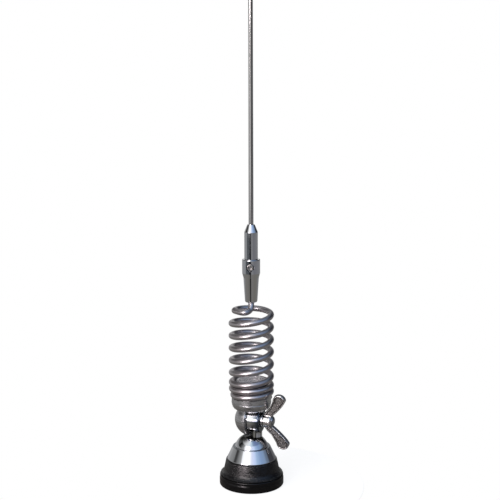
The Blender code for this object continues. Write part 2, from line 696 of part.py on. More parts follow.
def hook_points():
    """The wire's way from the coil's top turn in to the axis and up into the holder."""
    start = coil_point(COIL_TURNS)
    heading = (start - coil_point(COIL_TURNS - 0.02)).normalized()
    out = Vector((start.x, start.y, 0)).normalized()
    ahead = Vector((heading.x, heading.y, 0)).normalized()
    level = Vector((0, 0, start.z))
    knee = Vector((0, 0, HOLDER_Z))
    turn_in = level + out * COIL_END_RADIUS * 0.46 + ahead * COIL_END_RADIUS * 0.52
    under = level + out * COIL_END_RADIUS * 0.08 + ahead * COIL_END_RADIUS * 0.24
    under.z += HOLDER_LIFT * 0.24
    guides = [start - heading * WIRE_DIAMETER, start, turn_in, under, knee]
    guides.append(knee + Vector((0, 0, HOLDER_LIFT)))

    points = []
    for before, a, b, after in zip(guides, guides[1:], guides[2:], guides[3:]):
        for step in range(1, HOOK_POINTS // 3 + 1):
            t = step / (HOOK_POINTS // 3)
            points.append(spline_point(before, a, b, after, t))
    points.append(knee + Vector((0, 0, TAIL_LENGTH)))
    return points


def spline_point(before, start, end, after, t):
    """A point of the smooth curve from start to end that also heeds its outer neighbours."""
    start_pull = (end - before) / 2
    end_pull = (after - start) / 2
    return (
        start * (2 * t**3 - 3 * t**2 + 1)
        + start_pull * (t**3 - 2 * t**2 + t)
        + end * (3 * t**2 - 2 * t**3)
        + end_pull * (t**3 - t**2)
    )


def make_base_spring(material):
    """Shock spring: closed turns gripping the plug, open turns above, and a hooked upper end."""
    count = round(COIL_TURNS * WIRE_POINTS_PER_TURN)
    points = [coil_point(index / WIRE_POINTS_PER_TURN) for index in range(count + 1)]
    points += hook_points()
    curve = bpy.data.curves.new("base_spring", "CURVE")
    curve.dimensions = "3D"
    curve.bevel_depth = WIRE_DIAMETER / 2
    curve.bevel_resolution = 2
    curve.use_fill_caps = True
    spline = curve.splines.new("POLY")
    spline.points.add(len(points) - 1)
    for place, point in zip(spline.points, points):
        place.co = (*point, 1.0)
    curve.materials.append(material)
    spring = bpy.data.objects.new("base_spring", curve)
    bpy.context.collection.objects.link(spring)


def make_whip_holder(material):
    """Tapered holder: the spring's tail fits from below, the ferrule's shank from above."""
    tail = WIRE_DIAMETER / 2 + FIT_GAP
    shank = SHANK_RADIUS + FIT_GAP
    tail_top = HOLDER_Z + TAIL_LENGTH + FIT_GAP
    shank_foot = HOLDER_TOP_Z - SHANK_LENGTH - 2 * FIT_GAP
    foot = (HOLDER_FOOT_RADIUS - HOLDER_FOOT_ROUND, HOLDER_Z + HOLDER_FOOT_ROUND)
    outline = [(tail, HOLDER_Z)]
    outline += arc(foot, (HOLDER_FOOT_ROUND,) * 2, -90, 0, 3)
    outline += [
        (HOLDER_NECK_RADIUS, COLLAR_SHOULDER_Z),
        (COLLAR_RADIUS, COLLAR_Z),
        (COLLAR_RADIUS, COLLAR_Z + COLLAR_HEIGHT),
        (COLLAR_RADIUS - COLLAR_CHAMFER, HOLDER_TOP_Z),
        (shank, HOLDER_TOP_Z),
        (shank, shank_foot),
        (0, shank_foot),
        (0, tail_top),
        (tail, tail_top),
    ]
    holder = turned("whip_holder", outline, MIDDLE_SEGMENTS, material)
    screw_way = rod(
        "grub_bore", GRUB_RADIUS + FIT_GAP, 0.0, COLLAR_RADIUS + PAST, SMALL_SEGMENTS
    )
    screw_way.data.transform(grub_place())
    combine(holder, screw_way, "DIFFERENCE")


def grub_place():
    """Turns a piece that was made along +Z to point outwards through the collar."""
    bearing = Matrix.Rotation(math.radians(GRUB_BEARING_DEG), 4, "Z")
    outwards = Matrix.Rotation(math.pi / 2, 4, "Y")
    return Matrix.Translation((0, 0, GRUB_Z)) @ bearing @ outwards


def make_grub_screw(material):
    """Grub screw that clamps the ferrule's shank, with a hexagonal key socket."""
    inner = SHANK_RADIUS + FIT_GAP
    outer = COLLAR_RADIUS - GRUB_SUNK
    edge = GRUB_RADIUS * 0.15
    outline = [
        (0, inner),
        (GRUB_RADIUS - edge, inner),
        (GRUB_RADIUS, inner + edge),
        (GRUB_RADIUS, outer - edge),
        (GRUB_RADIUS - edge, outer),
        (0, outer),
    ]
    screw = turned("grub_screw", outline, SMALL_SEGMENTS, material)
    screw.data.transform(grub_place())
    key = hex_bar("key_socket", GRUB_HEX_FLATS, outer - GRUB_HEX_DEPTH, outer + PAST)
    key.data.transform(grub_place())
    combine(screw, key, "DIFFERENCE")


def whip_bore():
    """Radius of the ferrule's bore for the whip."""
    return WHIP_BASE_RADIUS + FIT_GAP


def make_whip_ferrule(material):
    """Ferrule on the whip's foot: a shank in the holder, a plain barrel and a conical top."""
    tip = whip_bore() + FERRULE_LIP
    outline = [
        (0, FERRULE_Z - SHANK_LENGTH),
        (SHANK_RADIUS - FIT_GAP, FERRULE_Z - SHANK_LENGTH),
        (SHANK_RADIUS, FERRULE_Z - SHANK_LENGTH + FIT_GAP),
        (SHANK_RADIUS, FERRULE_Z),
        (FERRULE_RADIUS, FERRULE_Z),
        (FERRULE_RADIUS, FERRULE_CONE_Z),
        (tip, FERRULE_TOP_Z),
        (whip_bore(), FERRULE_TOP_Z),
        (whip_bore(), WHIP_Z - FIT_GAP),
        (0, WHIP_Z - FIT_GAP),
    ]
    turned("whip_ferrule", outline, MIDDLE_SEGMENTS, material)


def make_whip_rod(material):
    """Tapered steel whip with a rounded end."""
    top = WHIP_Z + WHIP_LENGTH
    outline = [(0, WHIP_Z), (WHIP_BASE_RADIUS, WHIP_Z), (WHIP_BASE_RADIUS, FERRULE_TOP_Z)]
    outline += arc((0, top - WHIP_TIP_RADIUS), (WHIP_TIP_RADIUS,) * 2, 0, 90, 3)
    turned("whip_rod", outline, SMALL_SEGMENTS, material)


def main():
    """Build every piece of the antenna, each with its own finish."""
    clear_scene()
    chrome = (0.72, 0.74, 0.76)
    steel = (0.56, 0.55, 0.54)
    make_rubber_gasket(principled("gasket rubber", (0.012, 0.012, 0.013), 0.42, 0.0))
    make_grip_skirt(principled("grained skirt plastic", (0.016, 0.015, 0.016), 0.6, 0.0))
    make_thread_insert(principled("insert brass", (0.72, 0.52, 0.22), 0.3, 1.0))
    make_foot_stud(principled("stud zinc plate", (0.6, 0.6, 0.58), 0.4, 1.0))
    make_retaining_washer(principled("washer zinc plate", (0.58, 0.58, 0.56), 0.42, 1.0))
    make_retaining_clip(principled("clip spring steel", (0.2, 0.2, 0.21), 0.45, 1.0))
    make_pin_insulator(principled("insulator white", (0.8, 0.79, 0.75), 0.5, 0.0))
    make_contact_pin(principled("contact nickel", (0.66, 0.63, 0.56), 0.25, 1.0))
    make_base_bell(principled("bell chrome", chrome, 0.07, 1.0))
    make_bell_nut(principled("nut zinc plate", (0.6, 0.6, 0.57), 0.4, 1.0))
    make_hinge_foot(principled("foot chrome", chrome, 0.08, 1.0))
    make_ball_cup(principled("cup chrome", chrome, 0.08, 1.0))
    make_hinge_bolt(principled("pivot steel", steel, 0.35, 1.0))
    make_nut_washer(principled("pivot washer steel", steel, 0.38, 1.0))
    make_wing_nut(principled("wing nut steel", (0.42, 0.4, 0.37), 0.34, 1.0))
    make_base_spring(principled("spring wire", (0.6, 0.57, 0.56), 0.3, 1.0))
    make_whip_holder(principled("holder chrome", chrome, 0.07, 1.0))
    make_grub_screw(principled("grub steel", (0.22, 0.21, 0.2), 0.4, 1.0))
    make_whip_ferrule(principled("ferrule chrome", chrome, 0.07, 1.0))
    make_whip_rod(principled("whip steel", (0.55, 0.54, 0.54), 0.28, 1.0))


if __name__ == "__main__":
    main()
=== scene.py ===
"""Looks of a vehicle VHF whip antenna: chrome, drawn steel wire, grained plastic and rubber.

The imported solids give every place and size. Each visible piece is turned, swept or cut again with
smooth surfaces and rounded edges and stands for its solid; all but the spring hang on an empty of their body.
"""

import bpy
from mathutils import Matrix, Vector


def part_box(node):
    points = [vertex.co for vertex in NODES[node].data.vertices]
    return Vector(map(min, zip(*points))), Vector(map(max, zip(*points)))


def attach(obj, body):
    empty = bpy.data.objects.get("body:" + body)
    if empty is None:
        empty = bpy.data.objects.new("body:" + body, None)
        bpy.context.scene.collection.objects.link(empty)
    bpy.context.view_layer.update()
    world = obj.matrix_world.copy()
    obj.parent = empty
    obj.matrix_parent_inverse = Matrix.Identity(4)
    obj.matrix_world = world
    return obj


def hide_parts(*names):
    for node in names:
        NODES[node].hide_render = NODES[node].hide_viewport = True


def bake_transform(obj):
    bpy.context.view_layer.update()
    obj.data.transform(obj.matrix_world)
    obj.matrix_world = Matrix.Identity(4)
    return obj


bl_info = {
    "name": "Vehicle Whip Antenna",
    "version": (1, 0, 0),
    "blender": (4, 5, 0),
    "location": "View3D > Sidebar > Antenna",
    "description": "Dresses a vehicle whip antenna with its finished pieces and a studio",
    "category": "Object",
}

import math

import bpy
from bpy.props import FloatProperty, FloatVectorProperty, IntProperty, PointerProperty
from mathutils import Matrix, Vector
from mathutils.kdtree import KDTree

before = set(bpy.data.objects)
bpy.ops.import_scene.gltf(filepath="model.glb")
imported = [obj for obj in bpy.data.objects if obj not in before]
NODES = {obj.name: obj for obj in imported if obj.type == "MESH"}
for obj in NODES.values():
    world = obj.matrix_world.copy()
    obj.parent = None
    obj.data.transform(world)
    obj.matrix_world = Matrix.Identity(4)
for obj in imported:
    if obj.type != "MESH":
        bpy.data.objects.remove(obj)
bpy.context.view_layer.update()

MM = 0.001
FULL_TURN = 2 * math.pi
UP = (0.0, 0.0, 1.0)
ALONG_PIVOT = (1.0, 0.0, 0.0)
SMOOTH_DEG = 34.0
MERGE = 2e-6


def low(node):
    """Lowest corner of a solid."""
    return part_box(node)[0]


def high(node):
    """Highest corner of a solid."""
    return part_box(node)[1]


# Heights and radii that the solids give
SKIRT_FOOT_Z = low("grip_skirt").z
SKIRT_TOP_Z = high("grip_skirt").z
FLANGE_RADIUS = high("grip_skirt").x
GASKET_RADIUS = high("rubber_gasket").x
GASKET_TOP_Z = high("rubber_gasket").z
BELL_Z = low("base_bell").z
BELL_TOP_Z = high("base_bell").z
BELL_RADIUS = high("base_bell").x
DOME_Z = low("hinge_foot").z
HINGE_Z = (low("nut_washer").z + high("nut_washer").z) / 2
WASHER_X = low("nut_washer").x
CUP_RADIUS = high("ball_cup").x
HOLDER_Z = low("whip_holder").z
HOLDER_TOP_Z = high("whip_holder").z
COLLAR_RADIUS = high("whip_holder").x
FERRULE_RADIUS = high("whip_ferrule").x
FERRULE_TOP_Z = high("whip_ferrule").z
WHIP_TOP_Z = high("whip_rod").z

# Gaps, walls and forms of the pieces, in metres; bows and shares are parts of one
FIT = 0.0003
SEAT_GAP = 0.00005
INSERT_POCKET_RADIUS = 0.0099
INSERT_HEX_FLATS = 0.0210
THREAD_LEAD_IN_SHARE = 1.2
THREAD_DEPTH_SHARE = 0.45
THREAD_ROOT_SHARE = 0.2
THREAD_CREST_SHARES = (0.42, 0.52)
THREAD_WIDTH_SHARE = 0.94
STUD_BORE_RADIUS = 0.0043
STUD_BORE_DEPTH = 0.0048
PIVOT_BORE_RADIUS = 0.0033
SKIRT_FOOT_INSET = 0.0037
SKIRT_FLANGE_HEIGHT = 0.0040
SKIRT_WAIST_INSET = 0.0024
SKIRT_TAPER = 0.0012
SKIRT_WEB = 0.0024
SKIRT_HOLLOW_IN = 0.0010
SKIRT_HOLLOW_DROP = 0.0007
SKIRT_TOP_ROUND = 0.0006
GASKET_LIP = 0.0014
GASKET_STEP = 0.0002
GASKET_STEP_FOOT = 0.0026
GASKET_STEP_HEAD = 0.0016
BELL_TAPER = 0.0036
BELL_WALL = 0.0016
BELL_RIM_DROP = 0.0002
DOME_STEP = 0.00135
DOME_BULGE = 0.00055
DOME_HEIGHT = 0.00583
NECK_X = 0.0031
NECK_RADIUS = 0.0037
NECK_FLARE = 0.00012
DISC_X = -0.0007
DISC_END_X = WASHER_X - FIT
DISC_RADIUS = 0.0077
DISC_ROUND = 0.0006
SPLIT_X = -0.0010
BALL_RADIUS = 0.0103
RELIEF_RADIUS = 0.0082
CUP_ROOT_RADIUS = 0.0074
CUP_ROOT_DROP = 0.0055
CUP_RIM_HEIGHT = 0.0027
CUP_SIDE_IN = 0.0005
CUP_BROW = 0.0005
CUP_SIDE_PULL_SHARES = (0.91, 0.25)
CUP_BROW_PULL_IN = 0.0002
CUP_BROW_PULL_UP = 0.0010
PLUG_HEIGHT = 0.0134
PLUG_BASE_RADIUS = 0.0086
PLUG_TOP_RADIUS = 0.0098
PLUG_ROUND = 0.0012
PLUG_ROUGH_DEPTH = 0.0014
RAMP_UNDER_PLUG = 0.0004
RAMP_EDGE_IN = 0.0001
RAMP_RISE = 0.00015
BOLT_RADIUS = 0.0030
BOLT_DOME = 0.0015
HUB_RADIUS = 0.0043
HUB_LENGTH = 0.0052
HUB_FOOT_ROUND = 0.0003
HUB_END_ROUND = 0.0015
HUB_END_SHARE = 0.96
WING_ROOT_SHARE = 0.8
WING_ROOT_SPAN_SHARES = (0.1, 0.95)
WING_THICKNESS = 0.0026
WING_TIP_ROUND = 0.0040
WING_TIP_PAST_CUP = 0.0031
WING_TIP_REACH = 0.0151
WING_INNER_BOW = 0.075
WING_OUTER_BOW = 0.20
WING_BOW_SLANT = -0.3
WING_LEAN_DEG = 14.0
WING_SHOULDER_IN = 0.0001
WING_SHOULDER_SINK = 0.0004
WING_SHOULDER_PULL = (0.0099, 0.0069)
WING_SHOULDER_END = (0.01242, 0.00905)
WING_SIDE_START = 0.0094
WING_RIM = 0.0007
WING_RIM_SLOPE = 0.00025
WING_DISH = 0.00028
WING_VOXEL = 0.00012
HOLDER_FOOT_RADIUS = 0.00375
HOLDER_FOOT_ROUND = 0.0010
HOLDER_NECK_RADIUS = 0.0047
HOLDER_TAPER_HEIGHT = 0.0153
COLLAR_SHOULDER_HEIGHT = 0.0027
COLLAR_CHAMFER = 0.0004
SHANK_RADIUS = 0.0027
SHANK_DEPTH = 0.0104
GRUB_RADIUS = 0.0021
GRUB_BEARING_DEG = -77.0
GRUB_SINK = 0.0005
GRUB_ROUND = 0.0003
GRUB_FLARE_DEPTH = 0.00035
GRUB_SOCKET_FLATS = 0.0020
GRUB_SOCKET_DEPTH = 0.0012
FERRULE_CONE_HEIGHT = 0.0046
FERRULE_TIP_RADIUS = 0.0022
WHIP_RADIUS = 0.0015
WHIP_TIP_RADIUS = 0.00115

# The coil, as the solid winds it, and its hook
WIRE_RADIUS = 0.00185
COIL_RADIUS = 0.01205
COIL_START_RADIUS = 0.0109
COIL_END_RADIUS = 0.0101
COIL_START_DEG = 20.0
COIL_LEAN = 0.0007
CLOSED_PITCH = 0.0040
OPEN_PITCH = 0.00775
CLOSED_TURNS = 2.5
BLEND_TURNS = 0.5
OPEN_TURNS = 5.5
COIL_TURNS = CLOSED_TURNS + BLEND_TURNS + OPEN_TURNS
NARROWING_TURNS = 0.45
HOOK_LIFT = 0.0048
TAIL_LENGTH = 0.0135
HOOK_TURN_IN_SHARES = (0.46, 0.52)
HOOK_UNDER_SHARES = (0.08, 0.24)
HOOK_RISE_SHARE = 0.24

# Steps and facets of the finer pieces, and how far their die lines are drawn out
POINTS_PER_TURN = 64
HOOK_STEPS = 16
THREAD_STEPS = 56
WHIP_STEPS = 40
SMALL_FACETS = 96
BORE_FACETS = 64
THIN_FACETS = 48
WIRE_LINES_SCALE = 18.0
WHIP_LINES_SCALE = 12.0

# The camera as the photo was taken from
IMAGE_PIXELS = 500
VIEW_AZIMUTH_DEG = 20.0
CAMERA_DISTANCE = 0.766
CAMERA_HEIGHT = 0.2983
CAMERA_PITCH_DEG = 11.1
CAMERA_ROLL_DEG = -0.15
CAMERA_SIDE_STEP = -0.00065
FOCAL_PIXELS = 1295.0
SENSOR_MM = 36.0

# Key light and floor
KEY_AZIMUTH_DEG = -25.0
KEY_ELEVATION_DEG = 26.0
KEY_DISTANCE = 0.9
KEY_WIDTH = 0.24
KEY_HEIGHT = 0.36
KEY_WATTS = 2.2
KEY_AIM_Z = 0.05
KEY_COLOUR = (1.0, 0.93, 0.92)
FLOOR_RADIUS = 0.07
FLOOR_Z = -0.0001
FLOOR_FOOT_Z = -0.002
FLOOR_ROUND = 0.0008
FLOOR_WHITE_SHARE = 0.72
FLOOR_GLOW = 1.2
ROOM_RAGGED_DEG = 4.0

# Finishes, stains and painted shades beside the colours of the sidebar
# Painted shade on the disc, darker towards the wing nut
DISC_PAINTED_SHADE = (0.07, 0.09, 0.13)
# Painted shade on the knuckle's foot: round and behind the neck, under and on the disc
FOOT_PAINTED_SHADE = (0.05, 0.048, 0.04)
SATIN_DARK = (0.42, 0.42, 0.43)
SATIN_BRIGHT = (0.68, 0.68, 0.70)
SATIN_SMUDGE = (0.26, 0.26, 0.26)
# Painted shade in the gap between the cup's relief and the disc
GAP_PAINTED_SHADE = (0.05, 0.05, 0.07)
INSULATOR_WHITE = (0.8, 0.79, 0.75)
INSULATOR_STAIN = (0.62, 0.6, 0.54)
RUBBER_DUST = (0.006, 0.0055, 0.0055)
RUBBED_PLASTIC = (0.004, 0.0035, 0.004)
CLIP_BLACK = (0.12, 0.12, 0.125)
CONTACT_NICKEL = (0.66, 0.63, 0.56)
PIVOT_STEEL = (0.46, 0.47, 0.5)
WASHER_STEEL = (0.78, 0.79, 0.80)
GRUB_STEEL = (0.5, 0.49, 0.48)
WHIP_STEEL = (0.66, 0.66, 0.66)
HEAT_STAIN_SHARES = (0.66, 0.60, 0.58)
PLUG_BRIGHT = (0.95, 0.93, 0.96)
PLUG_PIT = (0.26, 0.24, 0.26)
WING_DARK = (0.2, 0.19, 0.185)
WING_PIT = (0.05, 0.045, 0.04)
WING_POLISH = (0.80, 0.79, 0.78)
# Painted shade in the wing nut's creases
WING_CREASE_SHADE = (0.012, 0.011, 0.010)
FLOOR_BROWNS = ((0.20, 0.18, 0.15), (0.30, 0.27, 0.24))
FLOOR_WHITES = ((0.90, 0.89, 0.88), (0.94, 0.94, 0.94))
WHITE = (1.0, 1.0, 1.0)

# How sharply the wing nut bends where it is rubbed bright, and where painted shade lies in its creases
RUBBED_BEND = (0.0025, 0.0075)
CREASE_SHADE_BEND = (0.0008, 0.0028)

# The room round the antenna: each band is a row of stops of (degrees from the camera, light),
# and the light is one number where it is grey
GROUND_BAND = (
    (-180, 0.26, 0.26, 0.25), (-60, 0.24, 0.23, 0.21), (-22, 0.2, 0.19, 0.17), (-17, 0.02), (-5, 0.02),
    (2, 0.25, 0.24, 0.23), (60, 0.22, 0.21, 0.19), (180, 0.26, 0.26, 0.25),
)
LOW_BAND = (
    (-180, 0.42), (-80, 0.36, 0.37, 0.38), (-68, 0.1, 0.11, 0.12), (-30, 0.11, 0.12, 0.13),
    (-24, 0.016, 0.016, 0.02), (-6, 0.016, 0.016, 0.02), (2, 0.3, 0.3, 0.31), (20, 0.3, 0.3, 0.31),
    (40, 0.22, 0.22, 0.24), (180, 0.34),
)
LEVEL_BAND = (
    (-180, 0.5), (-60, 0.44), (-44, 0.44), (-36, 0.8), (-12, 0.8), (-3, 0.12), (150, 0.15, 0.15, 0.16),
    (180, 0.5),
)
HORIZON_BAND = (
    (-180, 0.9), (-150, 0.45), (-100, 0.3), (-54, 0.34, 0.33, 0.33), (-47, 15.0, 13.2, 13.8),
    (-26, 15.0, 13.2, 13.8), (-19, 0.25), (-8, 0.1, 0.1, 0.11), (140, 0.06, 0.06, 0.07), (160, 0.4),
    (180, 0.9),
)
WALL_BAND = (
    (-180, 0.25, 0.26, 0.27), (-160, 0.12), (-112, 0.1), (-105, 0.01), (-97, 0.01), (-84, 0.08),
    (-75, 0.22), (-66, 0.36), (-56, 0.5), (-49, 1.45, 1.45, 1.46), (-38, 1.6), (-12, 1.6, 1.6, 1.62),
    (0, 1.05, 1.12, 1.36), (14, 0.92, 1.05, 1.4), (27, 0.6, 0.8, 1.1), (50, 0.34, 0.5, 0.8),
    (72, 0.31, 0.44, 0.66), (86, 0.2, 0.26, 0.36), (94, 0.08, 0.1, 0.14), (100, 0.0, 0.0, 0.01),
    (140, 0.01), (165, 0.08, 0.08, 0.09), (180, 0.25, 0.26, 0.27),
)
SKY_BAND = (
    (-180, 0.3, 0.31, 0.32), (-110, 0.35), (-80, 0.55), (-58, 1.0), (-27, 1.2, 1.25, 1.28),
    (-10, 0.95, 1.08, 1.2), (4, 0.62, 0.82, 1.0), (16, 0.37, 0.5, 0.7), (30, 0.27, 0.37, 0.61),
    (60, 0.19, 0.27, 0.5), (95, 0.19, 0.27, 0.34), (119, 0.28, 0.36, 0.42), (153, 0.2, 0.24, 0.32),
    (180, 0.3, 0.31, 0.32),
)
# Higher bands, as (height in degrees where one begins, half the width of its soft edge, band)
ROOM_BANDS = (
    (-16.5, 1.0, LOW_BAND),
    (-9.8, 0.6, LEVEL_BAND),
    (1.5, 1.0, HORIZON_BAND),
    (14.5, 2.0, WALL_BAND),
    (42.0, 4.0, SKY_BAND),
)


class FinishColours(bpy.types.PropertyGroup):
    """Colours of the antenna's finishes."""

    chrome: FloatVectorProperty(
        name="Chrome", description="Tint of the chromed pieces", subtype="COLOR",
        size=3, min=0.0, max=1.0, default=(0.63, 0.64, 0.66),
    )
    wire: FloatVectorProperty(
        name="Spring Wire", description="Tint of the drawn spring wire", subtype="COLOR",
        size=3, min=0.0, max=1.0, default=(0.53, 0.51, 0.525),
    )
    wing: FloatVectorProperty(
        name="Wing Nut", description="Tint of the cast wing nut", subtype="COLOR",
        size=3, min=0.0, max=1.0, default=(0.70, 0.68, 0.665),
    )
    rubber: FloatVectorProperty(
        name="Rubber", description="Colour of the foot ring", subtype="COLOR",
        size=3, min=0.0, max=1.0, default=(0.002, 0.002, 0.0022),
    )
    plastic: FloatVectorProperty(
        name="Skirt Plastic", description="Colour of the grained skirt", subtype="COLOR",
        size=3, min=0.0, max=1.0, default=(0.002, 0.0018, 0.0022),
    )
    brass: FloatVectorProperty(
        name="Brass", description="Tint of the coupling insert", subtype="COLOR",
        size=3, min=0.0, max=1.0, default=(0.72, 0.52, 0.22),
    )
    zinc: FloatVectorProperty(
        name="Zinc Plate", description="Tint of the plated inner pieces", subtype="COLOR",
        size=3, min=0.0, max=1.0, default=(0.58, 0.58, 0.56),
    )


class AntennaSizes(bpy.types.PropertyGroup):
    """Edge rounds and textures that a user would change."""

    edge_round: FloatProperty(
        name="Edge Round", description="Rounding of the turned pieces' edges",
        default=0.00025, min=0.00005, max=0.0005, unit="LENGTH",
    )
    gasket_round: FloatProperty(
        name="Gasket Round", description="Rounding of the foot ring's lower edge",
        default=0.0009, min=0.0002, max=0.0015, unit="LENGTH",
    )
    thread_pitch: FloatProperty(
        name="Coupling Pitch", description="Pitch of the coupling's inner thread",
        default=0.001358, min=0.0005, max=0.002, unit="LENGTH",
    )
    grain_size: FloatProperty(
        name="Grain Size", description="Width of one cell of the skirt's leather grain",
        default=0.001, min=0.0002, max=0.003, unit="LENGTH",
    )
    segments: IntProperty(
        name="Segments", description="Facets round a turned piece", default=128, min=32, max=256,
    )


def sizes():
    """The sizes that the sidebar shows."""
    return bpy.context.scene.antenna_sizes


def tint(name):
    """One of the finish colours."""
    return tuple(getattr(bpy.context.scene.antenna_colours, name))


# Modelling with the mesh tools


def pick(piece):
    """Make one piece the only selected and active object."""
    bpy.ops.object.select_all(action="DESELECT")
    piece.select_set(True)
    bpy.context.view_layer.objects.active = piece


def arc(centre, radii, start_deg, end_deg, steps):
    """Points of an elliptical arc, both ends included."""
    points = []
    for step in range(steps + 1):
        angle = math.radians(start_deg + (end_deg - start_deg) * step / steps)
        points.append((centre[0] + radii[0] * math.cos(angle), centre[1] + radii[1] * math.sin(angle)))
    return points


def bow(start, pull, end, steps):
    """Points of a quadratic curve from start to end that leans towards pull."""
    points = []
    for step in range(steps + 1):
        t = step / steps
        weights = ((1 - t) ** 2, 2 * t * (1 - t), t**2)
        points.append(tuple(sum(w * v for w, v in zip(weights, axis)) for axis in zip(start, pull, end)))
    return points


def rounded(corners, closed=True, steps=5):
    """Turn corners of (x, y, fillet) into an outline with arcs, held by a point on either side."""
    points = []
    count = len(corners)
    for index, (x, y, fillet) in enumerate(corners):
        at_end = not closed and index in (0, count - 1)
        if fillet <= 0 or at_end:
            points.append((x, y))
            continue
        here = Vector((x, y))
        back = (Vector(corners[index - 1][:2]) - here).normalized()
        ahead = (Vector(corners[(index + 1) % count][:2]) - here).normalized()
        half = back.angle(ahead) / 2
        reach = fillet / math.tan(half)
        centre = here + (back + ahead).normalized() * fillet / math.sin(half)
        first = here + back * reach - centre
        last = here + ahead * reach - centre
        sweep = first.angle(last)
        points.append(tuple(here + back * (reach + fillet * 0.3)))
        for step in range(steps + 1):
            t = step / steps
            ray = (first * math.sin((1 - t) * sweep) + last * math.sin(t * sweep)) / math.sin(sweep)
            points.append(tuple(centre + ray))
        points.append(tuple(here + ahead * (reach + fillet * 0.3)))
    return points


def trace(name, points, closed=True):
    """Draw an outline: a small plane merged to its first point, extruded from point to point."""
    bpy.ops.object.select_all(action="DESELECT")
    bpy.ops.mesh.primitive_plane_add(size=MM, location=points[0])
    piece = bpy.context.object
    piece.name = name
    bpy.ops.object.mode_set(mode="EDIT")
    bpy.ops.mesh.select_mode(type="VERT")
    bpy.ops.mesh.select_all(action="SELECT")
    bpy.ops.mesh.merge(type="CENTER")
    route = points + points[:1] if closed else points
    for here, there in zip(route, route[1:]):
        step = Vector(there) - Vector(here)
        bpy.ops.mesh.extrude_vertices_move(TRANSFORM_OT_translate={"value": step})
    bpy.ops.mesh.select_all(action="SELECT")
    bpy.ops.mesh.remove_doubles(threshold=MERGE)
    return piece


def settle(piece):
    """Leave edit mode with closed, outward faces and the place in the mesh."""
    bpy.ops.mesh.select_all(action="SELECT")
    bpy.ops.mesh.remove_doubles(threshold=MERGE)
    bpy.ops.mesh.dissolve_degenerate(threshold=MERGE)
    bpy.ops.mesh.normals_make_consistent(inside=False)
    bpy.ops.object.mode_set(mode="OBJECT")
    pick(piece)
    bpy.ops.object.transform_apply(location=True, rotation=True, scale=True)
    return piece


def turned(name, outline, closed=True, along_pivot=False, centre_x=0.0, segments=None):
    """Spin an outline of (radius, height) round +Z, or of (radius, x) round the pivot."""
    if along_pivot:
        points = [(along, 0.0, HINGE_Z + radius) for radius, along in outline]
        axis, centre = ALONG_PIVOT, (0.0, 0.0, HINGE_Z)
    else:
        points = [(centre_x + radius, 0.0, height) for radius, height in outline]
        axis, centre = UP, (centre_x, 0.0, 0.0)
    piece = trace(name, points, closed)
    steps = segments or sizes().segments
    bpy.ops.mesh.spin(steps=steps, angle=FULL_TURN, center=centre, axis=axis, use_auto_merge=True)
    return settle(piece)


def modify(piece, kind, name, **values):
    """Add a modifier with its settings, and apply it."""
    pick(piece)
    modifier = piece.modifiers.new(name, kind)
    for key, value in values.items():
        setattr(modifier, key, value)
    bpy.ops.object.modifier_apply(modifier=modifier.name)


def combine(piece, other, operation):
    """Join or cut a piece with a guide, which is then gone."""
    modify(piece, "BOOLEAN", other.name, object=other, operation=operation)
    bpy.data.objects.remove(other, do_unlink=True)


def rod_outline(radius, bottom, top):
    """Half the section of a plain rod."""
    return [(0.0, bottom), (radius, bottom), (radius, top), (0.0, top)]


def bore(piece, radius, bottom, top, along_pivot=False):
    """Cut a round hole along the mast or the pivot."""
    outline = rod_outline(radius, bottom, top)
    cutter = turned("bore_cutter", outline, closed=False, along_pivot=along_pivot, segments=BORE_FACETS)
    combine(piece, cutter, "DIFFERENCE")


def hex_prism(name, flats, bottom, top):
    """A hexagonal guide along +Z."""
    bpy.ops.object.select_all(action="DESELECT")
    bpy.ops.mesh.primitive_cylinder_add(
        vertices=6,
        radius=flats / 2 / math.cos(math.pi / 6),
        depth=top - bottom,
        location=(0.0, 0.0, (bottom + top) / 2),
        rotation=(0.0, 0.0, math.pi / 2),
    )
    prism = bpy.context.object
    prism.name = name
    bpy.ops.object.transform_apply(location=True, rotation=True, scale=True)
    return prism


def dress(piece, body, material, slot, *nodes, smooth_deg=SMOOTH_DEG):
    """Shade a finished piece, give it its material, and let it stand for its solids."""
    pick(piece)
    bpy.ops.object.shade_smooth_by_angle(angle=math.radians(smooth_deg))
    if not piece.data.materials:
        piece.data.materials.append(material)
    if nodes:
        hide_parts(*nodes)
    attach(piece, body)


def repaint(material, *nodes):
    """Give solids that stay their finish."""
    for name in nodes:
        mesh = NODES[name].data
        if mesh.materials:
            mesh.materials[0] = material
        else:
            mesh.materials.append(material)


def share_between(value, start, end):
    """How far a value lies from start to end, held between 0 and 1."""
    return min(max((value - start) / (end - start), 0.0), 1.0)


# Node helpers


def feed(tree, value, socket):
    """Join an output socket to an input socket, or give the input a plain value."""
    if isinstance(value, bpy.types.NodeSocket):
        tree.links.new(value, socket)
    elif socket.type == "RGBA":
        socket.default_value = (*value, 1.0)
    else:
        socket.default_value = value


def node(tree, kind, **values):
    """Add a node, and set its properties by name and its inputs by socket name."""
    made = tree.nodes.new(kind)
    for name, value in values.items():
        if hasattr(made, name):
            setattr(made, name, value)
        else:
            feed(tree, value, made.inputs[name.replace("_", " ")])
    return made


def maths(tree, operation, *values):
    """A Math node on sockets or numbers; more than two are taken one after the other."""
    while len(values) > 2:
        values = (maths(tree, operation, *values[:2]), *values[2:])
    made = node(tree, "ShaderNodeMath", operation=operation)
    for socket, value in zip(made.inputs, values):
        feed(tree, value, socket)
    return made.outputs[0]


def vectors(tree, operation, first, second, result="Vector"):
    """A Vector Math node on two sockets or vectors."""
    made = node(tree, "ShaderNodeVectorMath", operation=operation)
    feed(tree, first, made.inputs[0])
    feed(tree, second, made.inputs[1])
    return made.outputs[result]


def noise(tree, vector, scale, detail, roughness=0.5, **values):
    """The strength of a noise texture."""
    return node(
        tree, "ShaderNodeTexNoise", Vector=vector, Scale=scale, Detail=detail, Roughness=roughness, **values
    ).outputs["Fac"]


